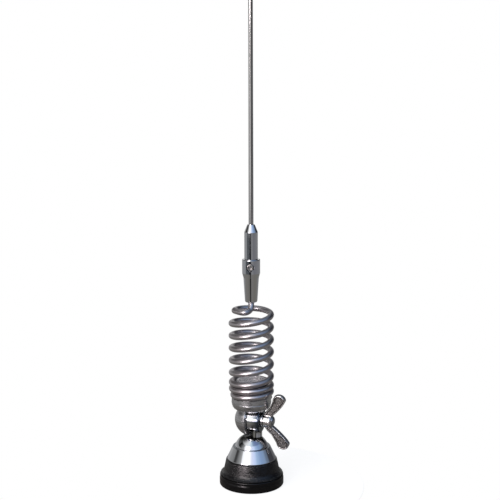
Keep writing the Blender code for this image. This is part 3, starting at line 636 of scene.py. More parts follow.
def blend_colours(tree, share, first, second):
    """Mix two colours by a share."""
    made = node(tree, "ShaderNodeMix", data_type="RGBA")
    for index, value in ((0, share), (6, first), (7, second)):
        feed(tree, value, made.inputs[index])
    return made.outputs[2]


def spread(tree, value, start, end, first=0.0, last=1.0, kind="LINEAR"):
    """Map a value from one range to another."""
    made = node(tree, "ShaderNodeMapRange", interpolation_type=kind)
    for socket, number in zip(made.inputs, (value, start, end, first, last)):
        feed(tree, number, socket)
    return made.outputs["Result"]


def ease(tree, value, start, end, first=0.0, last=1.0):
    """Map a value from one range to another, gently at both ends."""
    return spread(tree, value, start, end, first, last, "SMOOTHSTEP")


def new_group(name, outputs, **numbers):
    """An empty shader group from a vector and numbers to numbers, and the sockets of its two ends."""
    group = bpy.data.node_groups.new(name, "ShaderNodeTree")
    add = group.interface.new_socket
    add("Vector", in_out="INPUT", socket_type="NodeSocketVector")
    for label, value in numbers.items():
        socket = add(label.replace("_", " "), in_out="INPUT", socket_type="NodeSocketFloat")
        socket.default_value = value
    for label in outputs:
        add(label, in_out="OUTPUT", socket_type="NodeSocketFloat")
    return group, group.nodes.new("NodeGroupInput").outputs, group.nodes.new("NodeGroupOutput").inputs


def use_group(tree, name, **values):
    """Use a shader group, which is built the first time; gives its outputs."""
    group = bpy.data.node_groups.get(name) or GROUPS[name]()
    return node(tree, "ShaderNodeGroup", node_tree=group, **values).outputs


def turning_marks():
    """Fine rings that a lathe and a polishing wheel leave round a piece's axis."""
    group, given, result = new_group(
        "turning marks", ("Rings", "Smudges"), Rings_per_Metre=4000.0, Smudge_Size=0.006
    )
    vector = given["Vector"]
    x, y, z = node(group, "ShaderNodeSeparateXYZ", Vector=vector).outputs
    across = maths(group, "MULTIPLY", x, x)
    deep = maths(group, "MULTIPLY", y, y)
    radius = maths(group, "SQRT", maths(group, "ADD", across, deep))
    way = maths(group, "ADD", radius, maths(group, "MULTIPLY", z, 0.83))
    rings = maths(group, "MULTIPLY", way, given["Rings per Metre"])
    wander = maths(group, "MULTIPLY", noise(group, vector, 90.0, 2.0), 0.8)
    lines = node(
        group, "ShaderNodeTexNoise", noise_dimensions="1D", W=maths(group, "ADD", rings, wander),
        Scale=1.0, Detail=3.0, Roughness=0.65,
    )
    feed(group, lines.outputs["Fac"], result["Rings"])
    smudge_scale = maths(group, "DIVIDE", 1.0, given["Smudge Size"])
    smudge = noise(group, vector, smudge_scale, 4.0, 0.6, Distortion=0.4)
    feed(group, ease(group, smudge, 0.38, 0.68), result["Smudges"])
    return group


def leather_grain():
    """Raised cells with creases between them, as moulded leather grain has."""
    group, given, result = new_group("leather grain", ("Height", "Creases"), Cell_Size=0.0009)
    scale = maths(group, "DIVIDE", 1.0, given["Cell Size"])
    wobble = node(group, "ShaderNodeTexNoise", Vector=given["Vector"], Scale=1500.0, Detail=2.0)
    shift = vectors(group, "MULTIPLY", wobble.outputs["Color"], (0.0003, 0.0003, 0.0003))
    moved = vectors(group, "ADD", given["Vector"], shift)
    cells = node(group, "ShaderNodeTexVoronoi", feature="DISTANCE_TO_EDGE", Vector=moved, Scale=scale)
    fine_scale = maths(group, "MULTIPLY", scale, 2.7)
    fine = node(group, "ShaderNodeTexVoronoi", feature="F1", Vector=moved, Scale=fine_scale)
    plateau = ease(group, cells.outputs["Distance"], 0.02, 0.28)
    pebble = maths(group, "MULTIPLY", fine.outputs["Distance"], -0.35)
    feed(group, maths(group, "ADD", plateau, pebble), result["Height"])
    feed(group, maths(group, "SUBTRACT", 1.0, plateau), result["Creases"])
    return group


def cast_skin():
    """The mottled skin of a sand-cast piece: soft dimples, fine grit and darker pits."""
    group, given, result = new_group("cast skin", ("Height", "Pits", "Tone"), Grit_Size=0.0005)
    vector = given["Vector"]
    scale = maths(group, "DIVIDE", 1.0, given["Grit Size"])
    grit = noise(group, vector, scale, 3.0, 0.6)
    dimple_scale = maths(group, "MULTIPLY", scale, 0.55)
    dimples = node(
        group, "ShaderNodeTexVoronoi", feature="SMOOTH_F1", Vector=vector, Scale=dimple_scale, Smoothness=0.6
    )
    tone = noise(group, vector, 620.0, 4.0, 0.75)
    soft = maths(group, "MULTIPLY", dimples.outputs["Distance"], 0.6)
    feed(group, maths(group, "ADD", soft, grit), result["Height"])
    feed(group, ease(group, grit, 0.34, 0.46, 1.0, 0.0), result["Pits"])
    feed(group, ease(group, tone, 0.38, 0.62), result["Tone"])
    return group


def drawn_lines():
    """Long fine lines that a die leaves along drawn wire or a ground rod."""
    group, given, result = new_group("drawn lines", ("Lines", "Stains"), Lines_Across=9.0)
    feed(group, noise(group, given["Vector"], given["Lines Across"], 4.0, 0.7), result["Lines"])
    stains = noise(group, given["Vector"], 1.6, 3.0, 0.6)
    feed(group, ease(group, stains, 0.4, 0.66), result["Stains"])
    return group


GROUPS = {
    "turning marks": turning_marks,
    "leather grain": leather_grain,
    "cast skin": cast_skin,
    "drawn lines": drawn_lines,
}


# Materials


def new_material(name, metallic=1.0, specular=0.5):
    """A material and its node tree."""
    material = bpy.data.materials.new(name)
    material.use_nodes = True
    shader = material.node_tree.nodes["Principled BSDF"]
    shader.inputs["Metallic"].default_value = metallic
    shader.inputs["Specular IOR Level"].default_value = specular
    return material, material.node_tree


def coat(tree, colour, roughness, height, relief):
    """Give the shader its colour, its roughness and the height of its relief."""
    shader = tree.nodes["Principled BSDF"]
    feed(tree, colour, shader.inputs["Base Color"])
    feed(tree, roughness, shader.inputs["Roughness"])
    raised = node(tree, "ShaderNodeBump", Height=height, Distance=relief, Strength=1.0)
    feed(tree, raised.outputs["Normal"], shader.inputs["Normal"])


def object_vector(tree, along_pivot=False):
    """Object coordinates, laid so that the piece's own axis is Z."""
    coordinates = node(tree, "ShaderNodeTexCoord").outputs["Object"]
    if not along_pivot:
        return coordinates
    return node(
        tree, "ShaderNodeMapping", Vector=coordinates,
        Location=(HINGE_Z, 0.0, 0.0), Rotation=(0.0, math.radians(-90), 0.0),
    ).outputs["Vector"]


def chrome_material(name, smooth=0.045, smudged=0.13):
    """Polished chrome plate with faint buffing rings and hand smudges."""
    material, tree = new_material(name)
    skin = use_group(tree, "turning marks", Vector=object_vector(tree))
    dulled = maths(tree, "MULTIPLY", skin["Smudges"], maths(tree, "ADD", skin["Rings"], 0.25))
    coat(tree, tint("chrome"), spread(tree, dulled, 0.0, 1.0, smooth, smudged), skin["Rings"], 0.000002)
    return material


def foot_material():
    """Chrome of the knuckle's foot, with painted shade towards the wing nut and round the neck, and a painted
    dark reflection line.
    """
    material = chrome_material("foot chrome", smudged=0.11)
    tree = material.node_tree
    vector = object_vector(tree)
    x, y, z = node(tree, "ShaderNodeSeparateXYZ", Vector=vector).outputs
    crown_z = DOME_Z + DOME_HEIGHT

    # Painted shade: the disc's chrome darkens towards the wing nut
    on_disc = spread(tree, z, HINGE_Z - 8.0 * MM, HINGE_Z - 7.0 * MM)
    outwards = ease(tree, x, 1.0 * MM, DISC_END_X)
    disc_shaded = blend_colours(tree, maths(tree, "MULTIPLY", outwards, on_disc), tint("chrome"), DISC_PAINTED_SHADE)

    # Painted shade round the neck's foot and on the dome's flat crown beside it
    flat = node(tree, "ShaderNodeCombineXYZ", X=x, Y=y).outputs[0]
    from_neck = vectors(tree, "DISTANCE", flat, (NECK_X, 0.0, 0.0), "Value")
    ring = ease(tree, from_neck, NECK_RADIUS + 0.4 * MM, NECK_RADIUS + 0.9 * MM, 1.0, 0.0)
    beside = spread(tree, from_neck, NECK_RADIUS + 0.05 * MM, NECK_RADIUS + 0.15 * MM)
    flat_top = ease(tree, z, crown_z - 0.35 * MM, crown_z - 0.05 * MM, 0.0, 0.92)
    near = maths(tree, "MAXIMUM", ring, maths(tree, "MULTIPLY", beside, flat_top))
    low_on_neck = ease(tree, z, crown_z + 0.3 * MM, crown_z + 0.8 * MM, 1.0, 0.0)
    round_neck = maths(tree, "MULTIPLY", near, low_on_neck)

    # Painted shade in patches on the lower part of the disc and the neck under it
    under = ease(tree, z, HINGE_Z - 5.5 * MM, HINGE_Z - 1.5 * MM, 1.0, 0.0)
    patchy = ease(tree, noise(tree, vector, 420.0, 3.0, 0.6), 0.42, 0.6, 0.0, 0.9)
    under_disc = maths(tree, "MULTIPLY", under, on_disc, patchy)

    # Painted shade on the dome's crown behind the neck, under the half ball
    behind = ease(tree, x, -2.4 * MM, -0.4 * MM, 1.0, 0.0)
    crown = ease(tree, z, crown_z - 2.4 * MM, crown_z - 0.6 * MM, 0.0, 0.9)
    shaded = maths(tree, "MULTIPLY", behind, crown, low_on_neck)
    # Painted shade on the disc's top, where it sits under the cup's relief
    painted_shade = ease(tree, z, HINGE_Z + 5.3 * MM, HINGE_Z + 6.3 * MM)

    # A painted dark reflection: a line down the left of the neck as the camera sees it
    across = vectors(tree, "DOT_PRODUCT", vector, camera_axes()[0], "Value")
    aside = maths(tree, "ABSOLUTE", maths(tree, "SUBTRACT", across, 0.5 * MM))
    line = ease(tree, aside, 0.3 * MM, 1.0 * MM, 0.92, 0.0)
    below_pivot = ease(tree, z, HINGE_Z - 3.5 * MM, HINGE_Z - 0.5 * MM, 1.0, 0.0)
    above_dome = spread(tree, z, crown_z - 0.3 * MM, crown_z)
    run = maths(tree, "MULTIPLY", line, below_pivot, above_dome)

    # The painted shades and the painted dark reflection line darken the foot's chrome
    grime = maths(tree, "MAXIMUM", round_neck, under_disc, shaded, painted_shade, run)
    shader = tree.nodes["Principled BSDF"]
    feed(tree, blend_colours(tree, grime, disc_shaded, FOOT_PAINTED_SHADE), shader.inputs["Base Color"])
    return material


def satin_material():
    """Brushed chrome of the cup and the half ball: scratches that run across the knuckle."""
    material, tree = new_material("brushed chrome")
    vector = object_vector(tree)
    laid = node(tree, "ShaderNodeMapping", Vector=vector, Scale=(160.0, 160.0, 2600.0))
    scratches = noise(tree, laid.outputs["Vector"], 1.0, 4.0, 0.7)
    skin = use_group(tree, "turning marks", Vector=vector, Smudge_Size=0.004)
    scratch = spread(tree, scratches, 0.35, 0.65)
    bright = blend_colours(tree, scratch, SATIN_DARK, SATIN_BRIGHT)
    colour = blend_colours(tree, maths(tree, "MULTIPLY", skin["Smudges"], 0.35), bright, SATIN_SMUDGE)
    coat(tree, colour, spread(tree, scratch, 0.0, 1.0, 0.24, 0.34), scratches, 0.00003)
    return material


def metal_material(name, colour, roughness, along_pivot=False, grime=0.5):
    """Plated or plain turned metal with lathe rings and darker smudges."""
    material, tree = new_material(name)
    skin = use_group(tree, "turning marks", Vector=object_vector(tree, along_pivot), Smudge_Size=0.003)
    dark = tuple(channel * (1 - grime) for channel in colour)
    smudged = blend_colours(tree, maths(tree, "MULTIPLY", skin["Smudges"], 0.6), colour, dark)
    rough = spread(tree, skin["Rings"], 0.3, 0.7, roughness * 0.8, roughness * 1.3)
    coat(tree, smudged, rough, skin["Rings"], 0.000004)
    return material


def insulator_material():
    """White turned plastic with faint stains."""
    material, tree = new_material("white insulator", metallic=0.0)
    skin = use_group(tree, "turning marks", Vector=object_vector(tree))
    share = maths(tree, "MULTIPLY", skin["Smudges"], 0.5)
    stained = blend_colours(tree, share, INSULATOR_WHITE, INSULATOR_STAIN)
    coat(tree, stained, spread(tree, skin["Rings"], 0.3, 0.7, 0.42, 0.56), skin["Rings"], 0.000006)
    return material


def rubber_material():
    """Moulded rubber: nearly smooth, with a fine dusty tooth."""
    material, tree = new_material("gasket rubber", metallic=0.0, specular=0.35)
    skin = use_group(tree, "cast skin", Vector=object_vector(tree), Grit_Size=0.0004)
    share = maths(tree, "MULTIPLY", skin["Tone"], 0.35)
    dusty = blend_colours(tree, share, tint("rubber"), RUBBER_DUST)
    coat(tree, dusty, spread(tree, skin["Tone"], 0.0, 1.0, 0.09, 0.16), skin["Height"], 0.00001)
    return material


def skirt_material():
    """Black plastic with a moulded leather grain whose raised cells are rubbed shiny."""
    material, tree = new_material("grained skirt plastic", metallic=0.0)
    grain = use_group(tree, "leather grain", Vector=object_vector(tree), Cell_Size=sizes().grain_size)
    raised = maths(tree, "SUBTRACT", 1.0, grain["Creases"])
    rubbed = blend_colours(tree, raised, tint("plastic"), RUBBED_PLASTIC)
    coat(tree, rubbed, spread(tree, grain["Creases"], 0.0, 1.0, 0.09, 0.22), grain["Height"], 0.00007)
    return material


def wing_material():
    """Cast wing nut: mottled faces, dark pits, rims that the thumb has polished and painted shade in its
    creases.
    """
    material, tree = new_material("cast wing nut")
    skin = use_group(tree, "cast skin", Vector=object_vector(tree), Grit_Size=0.00045)
    rim = node(tree, "ShaderNodeAttribute", attribute_name="rim_polish").outputs["Fac"]
    grime = node(tree, "ShaderNodeAttribute", attribute_name="rim_grime").outputs["Fac"]
    cast = blend_colours(tree, skin["Tone"], WING_DARK, tint("wing"))
    pitted = blend_colours(tree, maths(tree, "MULTIPLY", skin["Pits"], 0.7), cast, WING_PIT)
    polished = blend_colours(tree, rim, pitted, WING_POLISH)
    # Painted shade darkens the wing nut's creases
    crease_shaded = blend_colours(tree, grime, polished, WING_CREASE_SHADE)
    rough = spread(tree, skin["Tone"], 0.0, 1.0, 0.5, 0.36)
    rough = maths(tree, "ADD", rough, maths(tree, "MULTIPLY", rim, -0.26))
    unpolished = maths(tree, "SUBTRACT", 1.0, maths(tree, "MULTIPLY", rim, 1.04))
    coat(tree, crease_shaded, rough, maths(tree, "MULTIPLY", skin["Height"], unpolished), 0.00018)
    return material


def wire_material(name, colour, roughness, lines_across, attribute):
    """Drawn stainless wire, with die lines along its own way and warm heat stains."""
    material, tree = new_material(name)
    way = node(tree, "ShaderNodeAttribute", attribute_name=attribute).outputs["Vector"]
    skin = use_group(tree, "drawn lines", Vector=way, Lines_Across=lines_across)
    warm = tuple(channel * share for channel, share in zip(colour, HEAT_STAIN_SHARES))
    stained = blend_colours(tree, maths(tree, "MULTIPLY", skin["Stains"], 0.6), colour, warm)
    rough = spread(tree, skin["Lines"], 0.3, 0.7, roughness * 0.75, roughness * 1.3)
    coat(tree, stained, rough, skin["Lines"], 0.00002)
    return material


def plug_material():
    """The rough bright top of the plug inside the coil."""
    material, tree = new_material("rough plug top")
    skin = use_group(tree, "cast skin", Vector=object_vector(tree), Grit_Size=0.0011)
    pitted = blend_colours(tree, skin["Pits"], PLUG_BRIGHT, PLUG_PIT)
    coat(tree, pitted, spread(tree, skin["Tone"], 0.0, 1.0, 0.2, 0.4), skin["Height"], 0.0005)
    return material


# The antenna's pieces


def make_gasket():
    """Foot ring with rounded edges, a slight step and the lip that lies under the skirt's foot."""
    edge = sizes().edge_round
    wall = FLANGE_RADIUS - SKIRT_FOOT_INSET + SEAT_GAP
    lip = wall - 2 * MM - SEAT_GAP
    corners = [
        (lip, 0.0, edge),
        (GASKET_RADIUS, 0.0, sizes().gasket_round),
        (GASKET_RADIUS, GASKET_TOP_Z - GASKET_STEP_FOOT, edge),
        (GASKET_RADIUS - GASKET_STEP, GASKET_TOP_Z - GASKET_STEP_HEAD, edge),
        (GASKET_RADIUS - GASKET_STEP, GASKET_TOP_Z, 2 * edge),
        (wall, GASKET_TOP_Z, edge),
        (wall, GASKET_LIP + FIT - SEAT_GAP, 0.0),
        (lip, GASKET_LIP + FIT - SEAT_GAP, edge),
    ]
    piece = turned("foot_ring", rounded(corners, steps=7))
    dress(piece, "base", rubber_material(), "gasket_rubber", "rubber_gasket")


def make_skirt():
    """Grained skirt: a band over a flared flange, a web on top and a pocket for the insert."""
    edge = sizes().edge_round
    foot = FLANGE_RADIUS - SKIRT_FOOT_INSET
    flange_z = GASKET_TOP_Z + FIT
    waist = (FLANGE_RADIUS - SKIRT_WAIST_INSET, flange_z + SKIRT_FLANGE_HEIGHT)
    rim = (FLANGE_RADIUS, flange_z + FIT)
    hollow = ((rim[0] + waist[0]) / 2 - SKIRT_HOLLOW_IN, (rim[1] + waist[1]) / 2 - SKIRT_HOLLOW_DROP)
    top = waist[0] - SKIRT_TAPER
    web_z = SKIRT_TOP_Z - SKIRT_WEB
    outline = rounded(
        [(INSERT_POCKET_RADIUS, SKIRT_FOOT_Z, edge), (foot, SKIRT_FOOT_Z, edge), (foot, flange_z, 0.0)],
        closed=False,
    )
    outline += [(FLANGE_RADIUS - edge / 2, flange_z), (FLANGE_RADIUS, flange_z + edge / 2)]
    outline += bow(rim, hollow, waist, 14)
    band = [(*waist, 0.0), (top, SKIRT_TOP_Z, SKIRT_TOP_ROUND), (STUD_BORE_RADIUS, SKIRT_TOP_Z, 0.0)]
    outline += rounded(band, False, 8)[1:]
    outline += [(STUD_BORE_RADIUS, web_z), (INSERT_POCKET_RADIUS, web_z)]
    piece = turned("grained_skirt", outline)
    seat = hex_prism("hex_seat_cutter", INSERT_HEX_FLATS, SKIRT_FOOT_Z - MM, SKIRT_FOOT_Z + 2 * MM)
    combine(piece, seat, "DIFFERENCE")
    dress(piece, "base", skirt_material(), "skirt_plastic", "grip_skirt")


def make_thread():
    """The coupling's inner thread: one V-shaped ridge wound up the insert's bore."""
    pitch = sizes().thread_pitch
    bore_radius = high("retaining_washer").x + FIT
    start_z = low("thread_insert").z + THREAD_LEAD_IN_SHARE * pitch
    turns = int((low("pin_insulator").z - start_z) / pitch) - 1
    depth = pitch * THREAD_DEPTH_SHARE
    root = bore_radius + depth * THREAD_ROOT_SHARE
    crest = bore_radius - depth
    corners = [(root, 0.0)]
    corners += [(crest, pitch * share) for share in THREAD_CREST_SHARES]
    corners += [(root, pitch * THREAD_WIDTH_SHARE)]
    piece = trace("coupling_thread", [(r, 0.0, start_z + h) for r, h in corners])
    bpy.ops.mesh.edge_face_add()
    bpy.ops.object.mode_set(mode="OBJECT")
    pick(piece)
    bpy.ops.object.transform_apply(location=True, rotation=True, scale=True)
    modify(
        piece, "SCREW", "wound", angle=FULL_TURN, screw_offset=pitch, iterations=turns,
        steps=THREAD_STEPS, render_steps=THREAD_STEPS, use_merge_vertices=False,
    )
    bpy.ops.object.mode_set(mode="EDIT")
    bpy.ops.mesh.select_all(action="SELECT")
    bpy.ops.mesh.normals_make_consistent(inside=False)
    bpy.ops.object.mode_set(mode="OBJECT")
    brass = metal_material("threaded brass", tint("brass"), 0.26)
    dress(piece, "base", brass, "insert_brass", smooth_deg=20)
    repaint(brass, "thread_insert")


def paint_inner_pieces():
    """Finishes of the pieces inside the base, which keep their solids."""
    repaint(metal_material("zinc plate", tint("zinc"), 0.36), "foot_stud", "retaining_washer", "bell_nut")
    repaint(metal_material("blackened clip", CLIP_BLACK, 0.42), "retaining_clip")
    repaint(metal_material("nickel contact", CONTACT_NICKEL, 0.2), "contact_pin")
    repaint(insulator_material(), "pin_insulator")


def make_bell():
    """Chromed bell: a thin cone with a rounded rim and a flat ledge that the dome stands on."""
    edge = sizes().edge_round
    foot_z = BELL_Z - BELL_RIM_DROP
    ledge = BELL_RADIUS - BELL_TAPER
    slope = BELL_TAPER / (BELL_TOP_Z - BELL_Z)
    web_z = BELL_TOP_Z - BELL_WALL
    inner_top = BELL_RADIUS - BELL_WALL - slope * (web_z - BELL_Z)
    corners = [
        (BELL_RADIUS - BELL_WALL, foot_z, edge),
        (BELL_RADIUS + slope * BELL_RIM_DROP, foot_z, 1.6 * edge),
        (ledge, BELL_TOP_Z, 1.4 * edge),
        (STUD_BORE_RADIUS, BELL_TOP_Z, 0.0),
        (STUD_BORE_RADIUS, web_z, 0.0),
        (inner_top, web_z, edge),
    ]
    piece = turned("chrome_bell", rounded(corners, steps=6))
    dress(piece, "foot", chrome_material("bell chrome"), "chrome", "base_bell")


def make_foot():
    """Knuckle's lower half: dome, neck with a small flare, and the pivot disc, all chromed."""
    edge = sizes().edge_round
    base = BELL_RADIUS - BELL_TAPER - DOME_STEP
    radius = base + DOME_BULGE
    centre_z = DOME_Z - math.sqrt(radius**2 - base**2)
    foot_z = BELL_TOP_Z + SEAT_GAP
    top_z = DOME_Z + DOME_HEIGHT
    low_deg = math.degrees(math.asin((DOME_Z - centre_z) / radius))
    high_deg = math.degrees(math.asin((top_z - centre_z) / radius))
    outline = [(0.0, foot_z), (base - edge, foot_z), (base - edge / 4, foot_z + edge / 4)]
    outline += arc((0.0, centre_z), (radius, radius), low_deg, high_deg + 3, 20)
    outline += [(0.0, outline[-1][1] + 0.1 * MM)]
    piece = turned("knuckle_foot", outline, closed=False)

    flare_z = top_z + NECK_FLARE
    neck = [(0.0, DOME_Z + 2 * MM), (NECK_RADIUS + NECK_FLARE, DOME_Z + 2 * MM)]
    neck += arc((NECK_RADIUS + NECK_FLARE, flare_z), (NECK_FLARE, NECK_FLARE), 270, 180, 5)
    neck += [(NECK_RADIUS, HINGE_Z), (0.0, HINGE_Z)]
    combine(piece, turned("neck_blank", neck, closed=False, centre_x=NECK_X, segments=SMALL_FACETS), "UNION")

    disc = [
        (0.0, DISC_X, 0.0),
        (DISC_RADIUS, DISC_X, 1.6 * edge),
        (DISC_RADIUS, DISC_END_X, DISC_ROUND),
        (0.0, DISC_END_X, 0.0),
    ]
    combine(piece, turned("disc_blank", rounded(disc, False, 6), closed=False, along_pivot=True), "UNION")
    bore(piece, PIVOT_BORE_RADIUS, DISC_X - MM, DISC_END_X + MM, along_pivot=True)
    bore(piece, STUD_BORE_RADIUS, DOME_Z - MM, DOME_Z + STUD_BORE_DEPTH)
    dress(piece, "foot", foot_material(), "chrome", "hinge_foot", smooth_deg=28)


def make_spring_seat(rim_top):
    """The ramp that the spring's first turn rests on: a ring that climbs with the wire."""
    inner = PLUG_BASE_RADIUS - RAMP_UNDER_PLUG
    outer = CUP_RADIUS - RAMP_EDGE_IN
    seat_z = rim_top + RAMP_RISE
    corners = [
        (inner, rim_top - MM, 0.0),
        (outer, rim_top - MM, 0.0),
        (outer, seat_z, RAMP_EDGE_IN),
        (inner, seat_z, 0.0),
    ]
    seat = turned("spring_seat", rounded(corners, steps=3))
    start = math.radians(COIL_START_DEG)
    for vertex in seat.data.vertices:
        if vertex.co.z > rim_top - 0.5 * MM:
            turn = (math.atan2(vertex.co.y, vertex.co.x) - start) % FULL_TURN / FULL_TURN
            vertex.co.z += CLOSED_PITCH * turn
    return seat


def make_cup():
    """Knuckle's upper half: half ball, spring cup and the rough-topped plug in the coil."""
    edge = sizes().edge_round
    rim_top = high("ball_cup").z - PLUG_HEIGHT
    rim_z = rim_top - CUP_RIM_HEIGHT
    root_z = rim_top - CUP_ROOT_DROP
    outline = [(0.0, root_z)]
    across, upwards = CUP_SIDE_PULL_SHARES
    pull = (CUP_RADIUS * across, root_z + (rim_z - root_z) * upwards)
    side = (CUP_RADIUS - CUP_SIDE_IN, rim_z)
    brow = (CUP_RADIUS, rim_top - CUP_BROW)
    outline += bow((CUP_ROOT_RADIUS, root_z), pull, side, 12)
    outline += bow(side, (CUP_RADIUS - CUP_BROW_PULL_IN, rim_z + CUP_BROW_PULL_UP), brow, 6)[1:]
    outline += rounded(
        [
            (*brow, 0.0),
            (CUP_RADIUS, rim_top, 1.4 * edge),
            (PLUG_BASE_RADIUS, rim_top, 0.0),
            (PLUG_TOP_RADIUS, rim_top + PLUG_HEIGHT, PLUG_ROUND),
            (0.0, rim_top + PLUG_HEIGHT, 0.0),
        ],
        False,
        7,
    )[1:]
    piece = turned("knuckle_cup", outline, closed=False)

    combine(piece, make_spring_seat(rim_top), "UNION")
    relief = rod_outline(RELIEF_RADIUS, SPLIT_X - MM, CUP_RADIUS + MM)
    combine(piece, turned("disc_relief", relief, closed=False, along_pivot=True), "DIFFERENCE")

    end_deg = math.degrees(math.asin((SPLIT_X - 1.6 * edge) / BALL_RADIUS))
    ball = arc((0.0, 0.0), (BALL_RADIUS, BALL_RADIUS), -90, end_deg, 30)
    lip = math.sqrt(BALL_RADIUS**2 - SPLIT_X**2)
    ball += [(lip - 0.6 * edge, SPLIT_X - 0.5 * edge), (lip - 1.6 * edge, SPLIT_X), (0.0, SPLIT_X)]
    combine(piece, turned("half_ball_blank", ball, closed=False, along_pivot=True), "UNION")
    bore(piece, PIVOT_BORE_RADIUS, -BALL_RADIUS - FIT, SPLIT_X + MM, along_pivot=True)

    # A dark rough material on the faces of the relief round the disc: painted shade in that gap
    painted_shade = metal_material("oiled gap", GAP_PAINTED_SHADE, 0.5, along_pivot=True)
    for material in (satin_material(), plug_material(), painted_shade):
        piece.data.materials.append(material)
    plug_line = rim_top + PLUG_HEIGHT - PLUG_ROUGH_DEPTH
    for face in piece.data.polygons:
        x, y, z = face.center
        in_relief = abs(math.hypot(y, z - HINGE_Z) - RELIEF_RADIUS) < 0.15 * MM and x > SPLIT_X
        face.material_index = 1 if z > plug_line else 2 * int(in_relief)
    dress(piece, "mast", None, "chrome", "ball_cup", smooth_deg=28)


def make_pivot():
    """Pivot stud with its domed end, and the thin washer under the wing nut."""
    edge = sizes().edge_round
    start_x, end_x = low("hinge_bolt").x, high("hinge_bolt").x
    outline = [(0.0, start_x), (BOLT_RADIUS - edge, start_x), (BOLT_RADIUS, start_x + edge)]
    outline += arc((0.0, end_x - BOLT_DOME), (BOLT_RADIUS, BOLT_DOME), 0, 90, 10)
    bolt = turned("pivot_stud", outline, closed=False, along_pivot=True, segments=BORE_FACETS)
    steel = metal_material("pivot steel", PIVOT_STEEL, 0.16, along_pivot=True)
    dress(bolt, "mast", steel, "bolt_steel", "hinge_bolt")

    inner_x, outer_x = WASHER_X - FIT + SEAT_GAP, high("nut_washer").x
    outer = high("nut_washer").z - HINGE_Z
    corners = [
        (PIVOT_BORE_RADIUS, inner_x, edge / 2),
        (outer, inner_x, edge),
        (outer, outer_x, edge),
        (PIVOT_BORE_RADIUS, outer_x, edge / 2),
    ]
    washer = turned("pivot_washer", rounded(corners, steps=4), along_pivot=True, segments=SMALL_FACETS)
    bright = metal_material("washer steel", WASHER_STEEL, 0.24, along_pivot=True, grime=0.2)
    dress(washer, "washer", bright, "bolt_steel", "nut_washer")


def wing_outline():
    """One wing in (x, height over the pivot), from the hub out to its round tip and back."""
    hub_x = low("wing_nut").x
    root = HUB_RADIUS * WING_ROOT_SHARE
    tip = (CUP_RADIUS + WING_TIP_PAST_CUP + WING_TIP_ROUND, WING_TIP_REACH)
    inner_root, outer_root = ((hub_x + HUB_LENGTH * share, root) for share in WING_ROOT_SPAN_SHARES)
    inner_side = (tip[0] - WING_TIP_ROUND, tip[1])
    outer_side = (tip[0] + WING_TIP_ROUND, tip[1])

    def pulled(start, end, edge_bow):
        """The point that a side's curve leans to."""
        reach = end[1] - start[1]
        across = (start[0] + end[0]) / 2 + reach * edge_bow
        return (across, (start[1] + end[1]) / 2 - reach * edge_bow * WING_BOW_SLANT)

    shoulder_root = (hub_x + WING_SHOULDER_IN, HUB_RADIUS - WING_SHOULDER_SINK)
    shoulder = bow(shoulder_root, WING_SHOULDER_PULL, WING_SHOULDER_END, 8)
    side = bow(inner_root, pulled(inner_root, inner_side, WING_INNER_BOW), inner_side, 14)
    outline = shoulder + [point for point in side if point[1] > WING_SIDE_START]
    outline += arc(tip, (WING_TIP_ROUND, WING_TIP_ROUND), 180, 0, 24)[1:-1]
    outline += bow(outer_side, pulled(outer_root, outer_side, WING_OUTER_BOW), outer_root, 14)
    return outline


def make_wing(name, turn_deg):
    """One wing: its outline filled, thickened, dished inside a raised rim and bevelled."""
    points = [(x, -WING_THICKNESS / 2, HINGE_Z + height) for x, height in wing_outline()]
    wing = trace(name, points)
    bpy.ops.mesh.edge_face_add()
    bpy.ops.mesh.extrude_region_move(TRANSFORM_OT_translate={"value": (0.0, WING_THICKNESS, 0.0)})
    bpy.ops.mesh.select_all(action="SELECT")
    bpy.ops.mesh.normals_make_consistent(inside=False)
    bpy.ops.mesh.select_mode(type="FACE")
    bpy.ops.mesh.select_all(action="DESELECT")
    bpy.ops.object.mode_set(mode="OBJECT")
    for face in wing.data.polygons:
        face.select = abs(face.normal.y) > 0.9
    bpy.ops.object.mode_set(mode="EDIT")
    bpy.ops.mesh.inset(thickness=WING_RIM, depth=0.0, use_individual=True, use_even_offset=False)
    bpy.ops.mesh.inset(thickness=WING_RIM_SLOPE, depth=-WING_DISH, use_individual=True, use_even_offset=False)
    bpy.ops.mesh.select_mode(type="VERT")
    settle(wing)
    pivot = Matrix.Translation((0.0, 0.0, HINGE_Z))
    wing.data.transform(pivot @ Matrix.Rotation(math.radians(turn_deg), 4, "X") @ pivot.inverted())
    return wing


def make_wing_nut():
    """Cast wing nut: a hub with a rounded end and two dished wings, grown together."""
    hub_x = low("wing_nut").x
    end_x = hub_x + HUB_LENGTH
    hub = [
        (PIVOT_BORE_RADIUS, hub_x, 0.0),
        (HUB_RADIUS, hub_x, HUB_FOOT_ROUND),
        (HUB_RADIUS * HUB_END_SHARE, end_x, HUB_END_ROUND),
        (PIVOT_BORE_RADIUS, end_x, 0.0),
    ]
    piece = turned("cast_wing_nut", rounded(hub, steps=8), along_pivot=True, segments=SMALL_FACETS)
    wings = [make_wing(f"wing_blank_{side}", side + WING_LEAN_DEG) for side in (0, 180)]
    pick(piece)
    for wing in wings:
        wing.select_set(True)
    bpy.ops.object.join()
    modify(piece, "REMESH", "grown together", mode="VOXEL", voxel_size=WING_VOXEL)
    modify(piece, "SMOOTH", "eased edges", factor=0.5, iterations=4)
    mark_rims(piece)
    dress(piece, "wings", wing_material(), "wing_steel", "wing_nut", smooth_deg=80)


